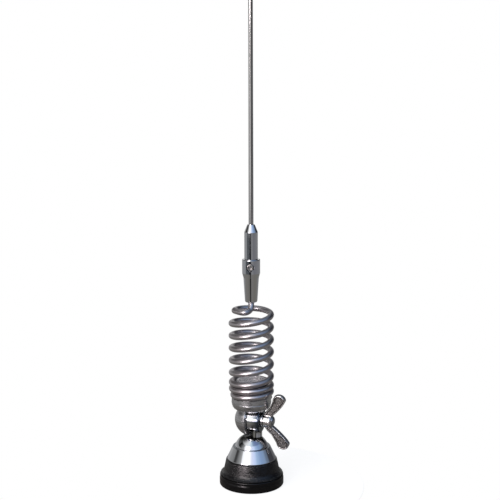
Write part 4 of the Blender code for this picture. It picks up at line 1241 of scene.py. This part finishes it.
def mark_rims(piece):
    """Store where the wing nut is rubbed bright and where painted shade lies in its creases, from how sharply
    it bends.
    """
    mesh = piece.data
    neighbours = [[] for _ in mesh.vertices]
    for edge in mesh.edges:
        a, b = edge.vertices
        neighbours[a].append(b)
        neighbours[b].append(a)
    bend = []
    for vertex, around in zip(mesh.vertices, neighbours):
        middle = sum((mesh.vertices[i].co for i in around), Vector()) / max(len(around), 1)
        bend.append((vertex.co - middle).dot(vertex.normal) / MM)
    for _ in range(4):
        bend = [
            (value + sum(bend[i] for i in around)) / (1 + len(around))
            for value, around in zip(bend, neighbours)
        ]
    # Painted shade in the concave bends, spread one ring wider
    creases_shaded = [share_between(-value, *CREASE_SHADE_BEND) for value in bend]
    creases_shaded = [max([value] + [creases_shaded[i] for i in around]) for value, around in zip(creases_shaded, neighbours)]
    polish = mesh.attributes.new("rim_polish", "FLOAT", "POINT")
    grime = mesh.attributes.new("rim_grime", "FLOAT", "POINT")
    hub_x = low("wing_nut").x
    for vertex, value, crease_share in zip(mesh.vertices, bend, creases_shaded):
        x, y, z = vertex.co
        rubbed = share_between(value, *RUBBED_BEND)
        on_hub = share_between(math.hypot(y, z - HINGE_Z) - HUB_RADIUS, 0.5 * MM, 0.0)
        along_hub = share_between(x, hub_x, hub_x + HUB_LENGTH)
        polish.data[vertex.index].value = max(rubbed, (0.95 - 0.75 * along_hub) * on_hub)
        grime.data[vertex.index].value = 0.8 * crease_share * (1.0 - rubbed) * (1.0 - on_hub)


def coil_point(turn):
    """A point on the coil's centre line after so many turns from its lower end."""
    closed = min(turn, CLOSED_TURNS)
    eased = min(max(turn - CLOSED_TURNS, 0.0), BLEND_TURNS)
    opened = max(turn - CLOSED_TURNS - BLEND_TURNS, 0.0)
    gain = (OPEN_PITCH - CLOSED_PITCH) / BLEND_TURNS
    height = closed * CLOSED_PITCH + opened * OPEN_PITCH + eased * CLOSED_PITCH + gain * eased**2 / 2
    radius = COIL_RADIUS
    if turn < 1.0:
        radius = COIL_START_RADIUS + (COIL_RADIUS - COIL_START_RADIUS) * turn**2
    left = COIL_TURNS - turn
    if left < NARROWING_TURNS:
        radius += (COIL_END_RADIUS - COIL_RADIUS) * (1.0 - left / NARROWING_TURNS) ** 2
    lean = COIL_LEAN * math.cos(turn * FULL_TURN) * eased / BLEND_TURNS
    angle = turn * FULL_TURN + math.radians(COIL_START_DEG)
    coil_z = high("ball_cup").z - PLUG_HEIGHT + FIT + WIRE_RADIUS
    return Vector((radius * math.cos(angle), radius * math.sin(angle), coil_z + height + lean))


def spline_point(before, start, end, after, t):
    """A point of the smooth curve from start to end that also heeds its outer neighbours."""
    start_pull = (end - before) / 2
    end_pull = (after - start) / 2
    return (
        start * (2 * t**3 - 3 * t**2 + 1)
        + start_pull * (t**3 - 2 * t**2 + t)
        + end * (3 * t**2 - 2 * t**3)
        + end_pull * (t**3 - t**2)
    )


def hook_points():
    """The wire's way from the top turn in to the axis and up into the holder."""
    start = coil_point(COIL_TURNS)
    heading = (start - coil_point(COIL_TURNS - 0.02)).normalized()
    out = Vector((start.x, start.y, 0.0)).normalized()
    ahead = Vector((heading.x, heading.y, 0.0)).normalized()
    level = Vector((0.0, 0.0, start.z))
    knee = Vector((0.0, 0.0, HOLDER_Z))
    turn_in, under = (
        level + out * COIL_END_RADIUS * outwards + ahead * COIL_END_RADIUS * onwards
        for outwards, onwards in (HOOK_TURN_IN_SHARES, HOOK_UNDER_SHARES)
    )
    under.z += HOOK_LIFT * HOOK_RISE_SHARE
    guides = [start - heading * 2 * WIRE_RADIUS, start, turn_in, under, knee]
    guides.append(knee + Vector((0.0, 0.0, HOOK_LIFT)))
    points = []
    for before, a, b, after in zip(guides, guides[1:], guides[2:], guides[3:]):
        points += [spline_point(before, a, b, after, step / HOOK_STEPS) for step in range(1, HOOK_STEPS + 1)]
    points.append(knee + Vector((0.0, 0.0, TAIL_LENGTH)))
    return points


def mark_wire(piece, route, attribute):
    """Store each point's way along and round the wire, for the die lines to follow."""
    tree = KDTree(len(route))
    for index, point in enumerate(route):
        tree.insert(point, index)
    tree.balance()
    lengths = [0.0]
    for here, there in zip(route, route[1:]):
        lengths.append(lengths[-1] + (there - here).length)
    way = piece.data.attributes.new(attribute, "FLOAT_VECTOR", "POINT")
    last = len(route) - 1
    for vertex in piece.data.vertices:
        _, index, _ = tree.find(vertex.co)
        tangent = (route[min(index + 1, last)] - route[max(index - 1, 0)]).normalized()
        side = Vector(UP).cross(tangent)
        side = side.normalized() if side.length > 0.2 else Vector(ALONG_PIVOT)
        lift = tangent.cross(side)
        offset = (vertex.co - route[index]) / WIRE_RADIUS
        along = lengths[index] * WIRE_LINES_SCALE
        way.data[vertex.index].vector = (offset.dot(side), offset.dot(lift), along)


def make_spring():
    """Shock spring: one wire swept along its turns and its hook, with die lines along it."""
    route = [coil_point(index / POINTS_PER_TURN) for index in range(round(COIL_TURNS * POINTS_PER_TURN) + 1)]
    route += hook_points()
    bpy.ops.object.select_all(action="DESELECT")
    bpy.ops.curve.primitive_nurbs_path_add(location=(0.0, 0.0, 0.0))
    piece = bpy.context.object
    piece.name = "shock_spring"
    curve = piece.data
    curve.splines.clear()
    spline = curve.splines.new("POLY")
    spline.points.add(len(route) - 1)
    for place, point in zip(spline.points, route):
        place.co = (*point, 1.0)
    curve.dimensions = "3D"
    curve.bevel_depth = WIRE_RADIUS
    curve.bevel_resolution = 6
    curve.use_fill_caps = True
    bpy.ops.object.convert(target="MESH")
    piece = bpy.context.object
    mark_wire(piece, route, "wire_way")
    wire = wire_material("drawn spring wire", tint("wire"), 0.33, 5.0, "wire_way")
    piece.data.materials.clear()
    piece.data.materials.append(wire)
    bpy.ops.object.shade_smooth_by_angle(angle=math.radians(50))
    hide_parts("base_spring")
    closed_top = coil_point(CLOSED_TURNS).z
    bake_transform(piece)


def make_holder():
    """Tapered whip holder with its collar, and the grub screw sunk in the collar's side."""
    edge = sizes().edge_round
    shoulder = HOLDER_Z + HOLDER_TAPER_HEIGHT
    collar = shoulder + COLLAR_SHOULDER_HEIGHT
    tail = WIRE_RADIUS + FIT / 2
    shank = SHANK_RADIUS + FIT / 2
    corners = [
        (tail, HOLDER_Z, 0.0),
        (HOLDER_FOOT_RADIUS, HOLDER_Z, HOLDER_FOOT_ROUND),
        (HOLDER_NECK_RADIUS, shoulder, 2 * edge),
        (COLLAR_RADIUS, collar, 2 * edge),
        (COLLAR_RADIUS, HOLDER_TOP_Z, COLLAR_CHAMFER),
        (shank, HOLDER_TOP_Z, 0.0),
        (shank, HOLDER_TOP_Z - SHANK_DEPTH, 0.0),
        (0.0, HOLDER_TOP_Z - SHANK_DEPTH, 0.0),
        (0.0, HOLDER_Z + TAIL_LENGTH + FIT, 0.0),
        (tail, HOLDER_Z + TAIL_LENGTH + FIT, 0.0),
    ]
    piece = turned("whip_socket", rounded(corners, closed=False, steps=6))
    grub_z = (collar + HOLDER_TOP_Z - COLLAR_CHAMFER) / 2
    outwards = Matrix.Translation((0.0, 0.0, grub_z))
    outwards = outwards @ Matrix.Rotation(math.radians(GRUB_BEARING_DEG), 4, "Z")
    outwards = outwards @ Matrix.Rotation(math.pi / 2, 4, "Y")
    hole = [
        (0.0, 0.0),
        (GRUB_RADIUS + FIT, 0.0),
        (GRUB_RADIUS + FIT, COLLAR_RADIUS - GRUB_FLARE_DEPTH),
        (GRUB_RADIUS + 2.2 * FIT, COLLAR_RADIUS + MM),
        (0.0, COLLAR_RADIUS + MM),
    ]
    cutter = turned("grub_hole", hole, closed=False, segments=BORE_FACETS)
    cutter.data.transform(outwards)
    combine(piece, cutter, "DIFFERENCE")
    dress(piece, "holder", chrome_material("holder chrome", smooth=0.04), "chrome", "whip_holder")

    outer = COLLAR_RADIUS - GRUB_SINK
    inner = SHANK_RADIUS + FIT
    blank = [(x, y, GRUB_ROUND if x else 0.0) for x, y in rod_outline(GRUB_RADIUS, inner, outer)]
    screw = turned("socket_screw", rounded(blank, False, 4), closed=False, segments=THIN_FACETS)
    socket = hex_prism("key_socket", GRUB_SOCKET_FLATS, outer - GRUB_SOCKET_DEPTH, outer + MM)
    combine(screw, socket, "DIFFERENCE")
    screw.data.transform(outwards)
    dress(screw, "holder", metal_material("grub steel", GRUB_STEEL, 0.2), "plated_steel", "grub_screw")


def make_whip():
    """Ferrule with its conical top, and the tapered whip that stands in it."""
    edge = sizes().edge_round
    foot_z = HOLDER_TOP_Z + SEAT_GAP
    cone_z = FERRULE_TOP_Z - FERRULE_CONE_HEIGHT
    whip_foot = low("whip_rod").z
    corners = [
        (0.0, low("whip_ferrule").z, 0.0),
        (SHANK_RADIUS, low("whip_ferrule").z, edge),
        (SHANK_RADIUS, foot_z, 0.0),
        (FERRULE_RADIUS, foot_z, edge / 2),
        (FERRULE_RADIUS, cone_z, edge),
        (FERRULE_TIP_RADIUS, FERRULE_TOP_Z, edge / 2),
        (WHIP_RADIUS + SEAT_GAP, FERRULE_TOP_Z, 0.0),
        (WHIP_RADIUS + SEAT_GAP, whip_foot - SEAT_GAP, 0.0),
        (0.0, whip_foot - SEAT_GAP, 0.0),
    ]
    ferrule = turned("chrome_ferrule", rounded(corners, False, 5), closed=False)
    chrome = chrome_material("ferrule chrome", smooth=0.03, smudged=0.1)
    dress(ferrule, "whip", chrome, "chrome", "whip_ferrule")

    outline = [(0.0, whip_foot), (WHIP_RADIUS - edge / 2, whip_foot), (WHIP_RADIUS, whip_foot + edge / 2)]
    rise = WHIP_TOP_Z - WHIP_TIP_RADIUS - FERRULE_TOP_Z
    for step in range(WHIP_STEPS + 1):
        share = step / WHIP_STEPS
        outline.append((WHIP_RADIUS + (WHIP_TIP_RADIUS - WHIP_RADIUS) * share, FERRULE_TOP_Z + rise * share))
    outline += arc((0.0, WHIP_TOP_Z - WHIP_TIP_RADIUS), (WHIP_TIP_RADIUS,) * 2, 0, 90, 8)[1:]
    whip = turned("steel_whip", outline, closed=False, segments=THIN_FACETS)
    way = whip.data.attributes.new("whip_way", "FLOAT_VECTOR", "POINT")
    for vertex in whip.data.vertices:
        x, y, z = vertex.co
        way.data[vertex.index].vector = (x / WHIP_RADIUS, y / WHIP_RADIUS, z * WHIP_LINES_SCALE)
    steel = wire_material("ground whip steel", WHIP_STEEL, 0.11, 6.0, "whip_way")
    dress(whip, "whip", steel, "spring_steel", "whip_rod")


# Camera, light and floor


def camera_axes():
    """Level directions to the camera's right and from the antenna towards the camera."""
    azimuth = math.radians(VIEW_AZIMUTH_DEG)
    right = Vector((math.cos(azimuth), math.sin(azimuth), 0.0))
    towards = Vector((math.sin(azimuth), -math.cos(azimuth), 0.0))
    return right, towards


def make_camera():
    """The camera at the photo's place, with its height, pitch and small roll."""
    right, towards = camera_axes()
    pitch = math.radians(CAMERA_PITCH_DEG)
    look = -towards * math.cos(pitch) - Vector(UP) * math.sin(pitch)
    place = towards * CAMERA_DISTANCE + Vector(UP) * CAMERA_HEIGHT + right * CAMERA_SIDE_STEP
    bpy.ops.object.camera_add(location=place)
    camera = bpy.context.object
    camera.name = "photo_camera"
    roll = Matrix.Rotation(math.radians(CAMERA_ROLL_DEG), 3, "Z").to_quaternion()
    camera.rotation_mode = "QUATERNION"
    camera.rotation_quaternion = look.to_track_quat("-Z", "Y") @ roll
    camera.data.sensor_width = SENSOR_MM
    camera.data.lens = FOCAL_PIXELS * SENSOR_MM / IMAGE_PIXELS
    camera.data.dof.use_dof = False
    bpy.context.scene.camera = camera
    return camera


def make_key_light():
    """One soft light, above and left of the camera."""
    right, towards = camera_axes()
    side = math.radians(KEY_AZIMUTH_DEG)
    rise = math.radians(KEY_ELEVATION_DEG)
    level = towards * math.cos(side) + right * math.sin(side)
    aim = Vector((0.0, 0.0, KEY_AIM_Z))
    place = aim + (level * math.cos(rise) + Vector(UP) * math.sin(rise)) * KEY_DISTANCE
    bpy.ops.object.light_add(type="AREA", location=place)
    lamp = bpy.context.object
    lamp.name = "key_light"
    lamp.rotation_euler = (aim - place).to_track_quat("-Z", "Y").to_euler()
    lamp.data.shape = "RECTANGLE"
    lamp.data.size = KEY_WIDTH
    lamp.data.size_y = KEY_HEIGHT
    lamp.data.energy = KEY_WATTS
    lamp.data.color = KEY_COLOUR
    lamp.visible_camera = False
    return lamp


def make_floor():
    """Small pale floor that the camera sees as white but for the antenna's own shadow."""
    corners = [
        (0.0, FLOOR_FOOT_Z, 0.0),
        (FLOOR_RADIUS, FLOOR_FOOT_Z, FLOOR_ROUND),
        (FLOOR_RADIUS, FLOOR_Z, FLOOR_ROUND),
        (0.0, FLOOR_Z, 0.0),
    ]
    floor = turned("studio_floor", rounded(corners, False), closed=False)
    material, tree = new_material("pale floor", metallic=0.0, specular=0.1)
    shader = tree.nodes["Principled BSDF"]
    tone = ease(tree, noise(tree, object_vector(tree), 160.0, 4.0, 0.6), 0.35, 0.65)
    brown = blend_colours(tree, tone, *FLOOR_BROWNS)
    pale = blend_colours(tree, tone, *FLOOR_WHITES)
    by_camera = node(tree, "ShaderNodeLightPath").outputs["Is Camera Ray"]
    feed(tree, blend_colours(tree, by_camera, brown, pale), shader.inputs["Base Color"])
    shader.inputs["Roughness"].default_value = 0.9
    white = node(tree, "ShaderNodeEmission", Color=WHITE, Strength=FLOOR_GLOW)
    mix = node(tree, "ShaderNodeMixShader", Fac=maths(tree, "MULTIPLY", by_camera, FLOOR_WHITE_SHARE))
    feed(tree, shader.outputs["BSDF"], mix.inputs[1])
    feed(tree, white.outputs["Emission"], mix.inputs[2])
    feed(tree, mix.outputs["Shader"], tree.nodes["Material Output"].inputs["Surface"])
    floor.data.materials.append(material)
    pick(floor)
    bpy.ops.object.shade_smooth_by_angle(angle=math.radians(SMOOTH_DEG))
    return floor


def round_band(tree, azimuth, stops):
    """A band of the room all the way round, as a Color Ramp of its stops."""
    made = node(tree, "ShaderNodeValToRGB", Fac=spread(tree, azimuth, -180.0, 180.0))
    elements = made.color_ramp.elements
    while len(elements) < len(stops):
        elements.new(0.5)
    for element, (degrees, *light) in zip(elements, stops):
        element.position = (degrees + 180) / 360
        element.color = (*light, 1.0) if len(light) == 3 else (*light * 3, 1.0)
    return made.outputs["Color"]


def make_world():
    """Studio seen in the chrome: bands of light by height, and plain white for the camera."""
    world = bpy.data.worlds.new("studio")
    bpy.context.scene.world = world
    world.use_nodes = True
    tree = world.node_tree
    direction = node(tree, "ShaderNodeTexCoord").outputs["Generated"]
    right, towards = camera_axes()
    across, ahead, rise = (
        vectors(tree, "DOT_PRODUCT", direction, axis, "Value") for axis in (right, towards, UP)
    )
    azimuth = maths(tree, "MULTIPLY", maths(tree, "ARCTAN2", across, ahead), 180.0 / math.pi)
    height = maths(tree, "MULTIPLY", maths(tree, "ARCSINE", rise), 180.0 / math.pi)
    ragged = spread(tree, noise(tree, direction, 5.0, 3.0), 0.3, 0.7, -ROOM_RAGGED_DEG, ROOM_RAGGED_DEG)
    side = maths(tree, "ADD", azimuth, ragged)

    room = round_band(tree, side, GROUND_BAND)
    for begin, soft, stops in ROOM_BANDS:
        share = ease(tree, height, begin - soft, begin + soft)
        room = blend_colours(tree, share, room, round_band(tree, side, stops))
    by_camera = node(tree, "ShaderNodeLightPath").outputs["Is Camera Ray"]
    background = tree.nodes["Background"]
    feed(tree, blend_colours(tree, by_camera, room, WHITE), background.inputs["Color"])
    background.inputs["Strength"].default_value = 1.0


def make_studio():
    """Camera, key light, floor and room."""
    bpy.context.scene.view_settings.view_transform = "Standard"
    camera = make_camera()
    lamp = make_key_light()
    floor = make_floor()
    make_world()


# Operators


class ANTENNA_OT_gasket(bpy.types.Operator):
    """Turn the rubber foot ring"""

    bl_idname = "antenna.gasket"
    bl_label = "Foot Ring"

    def execute(self, context):
        make_gasket()
        return {"FINISHED"}


class ANTENNA_OT_skirt(bpy.types.Operator):
    """Turn the grained grip skirt"""

    bl_idname = "antenna.skirt"
    bl_label = "Grip Skirt"

    def execute(self, context):
        make_skirt()
        return {"FINISHED"}


class ANTENNA_OT_coupling(bpy.types.Operator):
    """Wind the coupling's thread and finish the pieces inside the base"""

    bl_idname = "antenna.coupling"
    bl_label = "Coupling"

    def execute(self, context):
        make_thread()
        paint_inner_pieces()
        return {"FINISHED"}


class ANTENNA_OT_bell(bpy.types.Operator):
    """Turn the chromed bell"""

    bl_idname = "antenna.bell"
    bl_label = "Bell"

    def execute(self, context):
        make_bell()
        return {"FINISHED"}


class ANTENNA_OT_foot(bpy.types.Operator):
    """Build the knuckle's lower half: dome, neck and disc"""

    bl_idname = "antenna.foot"
    bl_label = "Knuckle Foot"

    def execute(self, context):
        make_foot()
        return {"FINISHED"}


class ANTENNA_OT_cup(bpy.types.Operator):
    """Build the knuckle's upper half: half ball, cup and plug"""

    bl_idname = "antenna.cup"
    bl_label = "Knuckle Cup"

    def execute(self, context):
        make_cup()
        return {"FINISHED"}


class ANTENNA_OT_pivot(bpy.types.Operator):
    """Turn the pivot stud and its washer"""

    bl_idname = "antenna.pivot"
    bl_label = "Pivot"

    def execute(self, context):
        make_pivot()
        return {"FINISHED"}


class ANTENNA_OT_wing_nut(bpy.types.Operator):
    """Build the cast wing nut"""

    bl_idname = "antenna.wing_nut"
    bl_label = "Wing Nut"

    def execute(self, context):
        make_wing_nut()
        return {"FINISHED"}


class ANTENNA_OT_spring(bpy.types.Operator):
    """Wind the shock spring with its hook"""

    bl_idname = "antenna.spring"
    bl_label = "Shock Spring"

    def execute(self, context):
        make_spring()
        return {"FINISHED"}


class ANTENNA_OT_holder(bpy.types.Operator):
    """Turn the whip holder and set its grub screw"""

    bl_idname = "antenna.holder"
    bl_label = "Whip Holder"

    def execute(self, context):
        make_holder()
        return {"FINISHED"}


class ANTENNA_OT_whip(bpy.types.Operator):
    """Turn the ferrule and draw the tapered whip"""

    bl_idname = "antenna.whip"
    bl_label = "Whip"

    def execute(self, context):
        make_whip()
        return {"FINISHED"}


class ANTENNA_OT_studio(bpy.types.Operator):
    """Set up the camera, the light, the floor and the room"""

    bl_idname = "antenna.studio"
    bl_label = "Studio"

    def execute(self, context):
        make_studio()
        return {"FINISHED"}


STEPS = (
    ANTENNA_OT_gasket,
    ANTENNA_OT_skirt,
    ANTENNA_OT_coupling,
    ANTENNA_OT_bell,
    ANTENNA_OT_foot,
    ANTENNA_OT_cup,
    ANTENNA_OT_pivot,
    ANTENNA_OT_wing_nut,
    ANTENNA_OT_spring,
    ANTENNA_OT_holder,
    ANTENNA_OT_whip,
    ANTENNA_OT_studio,
)


class ANTENNA_PT_panel(bpy.types.Panel):
    """Sizes, colours and building steps of the antenna"""

    bl_idname = "ANTENNA_PT_panel"
    bl_label = "Vehicle Whip Antenna"
    bl_space_type = "VIEW_3D"
    bl_region_type = "UI"
    bl_category = "Antenna"

    def draw(self, context):
        layout = self.layout
        layout.use_property_split = True
        for group in (context.scene.antenna_sizes, context.scene.antenna_colours):
            column = layout.column()
            for name in group.bl_rna.properties.keys():
                if name not in {"rna_type", "name"}:
                    column.prop(group, name)
        column = layout.column()
        for step in STEPS:
            column.operator(step.bl_idname)


CLASSES = (FinishColours, AntennaSizes, *STEPS, ANTENNA_PT_panel)


def register():
    """Register the classes and hang the settings on the scene."""
    for entry in CLASSES:
        bpy.utils.register_class(entry)
    bpy.types.Scene.antenna_colours = PointerProperty(type=FinishColours)
    bpy.types.Scene.antenna_sizes = PointerProperty(type=AntennaSizes)


def unregister():
    """Take the settings and the classes away again."""
    del bpy.types.Scene.antenna_sizes
    del bpy.types.Scene.antenna_colours
    for entry in reversed(CLASSES):
        bpy.utils.unregister_class(entry)


def main():
    """Build every piece and the studio."""
    register()
    bpy.ops.antenna.gasket()
    bpy.ops.antenna.skirt()
    bpy.ops.antenna.coupling()
    bpy.ops.antenna.bell()
    bpy.ops.antenna.foot()
    bpy.ops.antenna.cup()
    bpy.ops.antenna.pivot()
    bpy.ops.antenna.wing_nut()
    bpy.ops.antenna.spring()
    bpy.ops.antenna.holder()
    bpy.ops.antenna.whip()
    bpy.ops.antenna.studio()


if __name__ == "__main__":
    main()
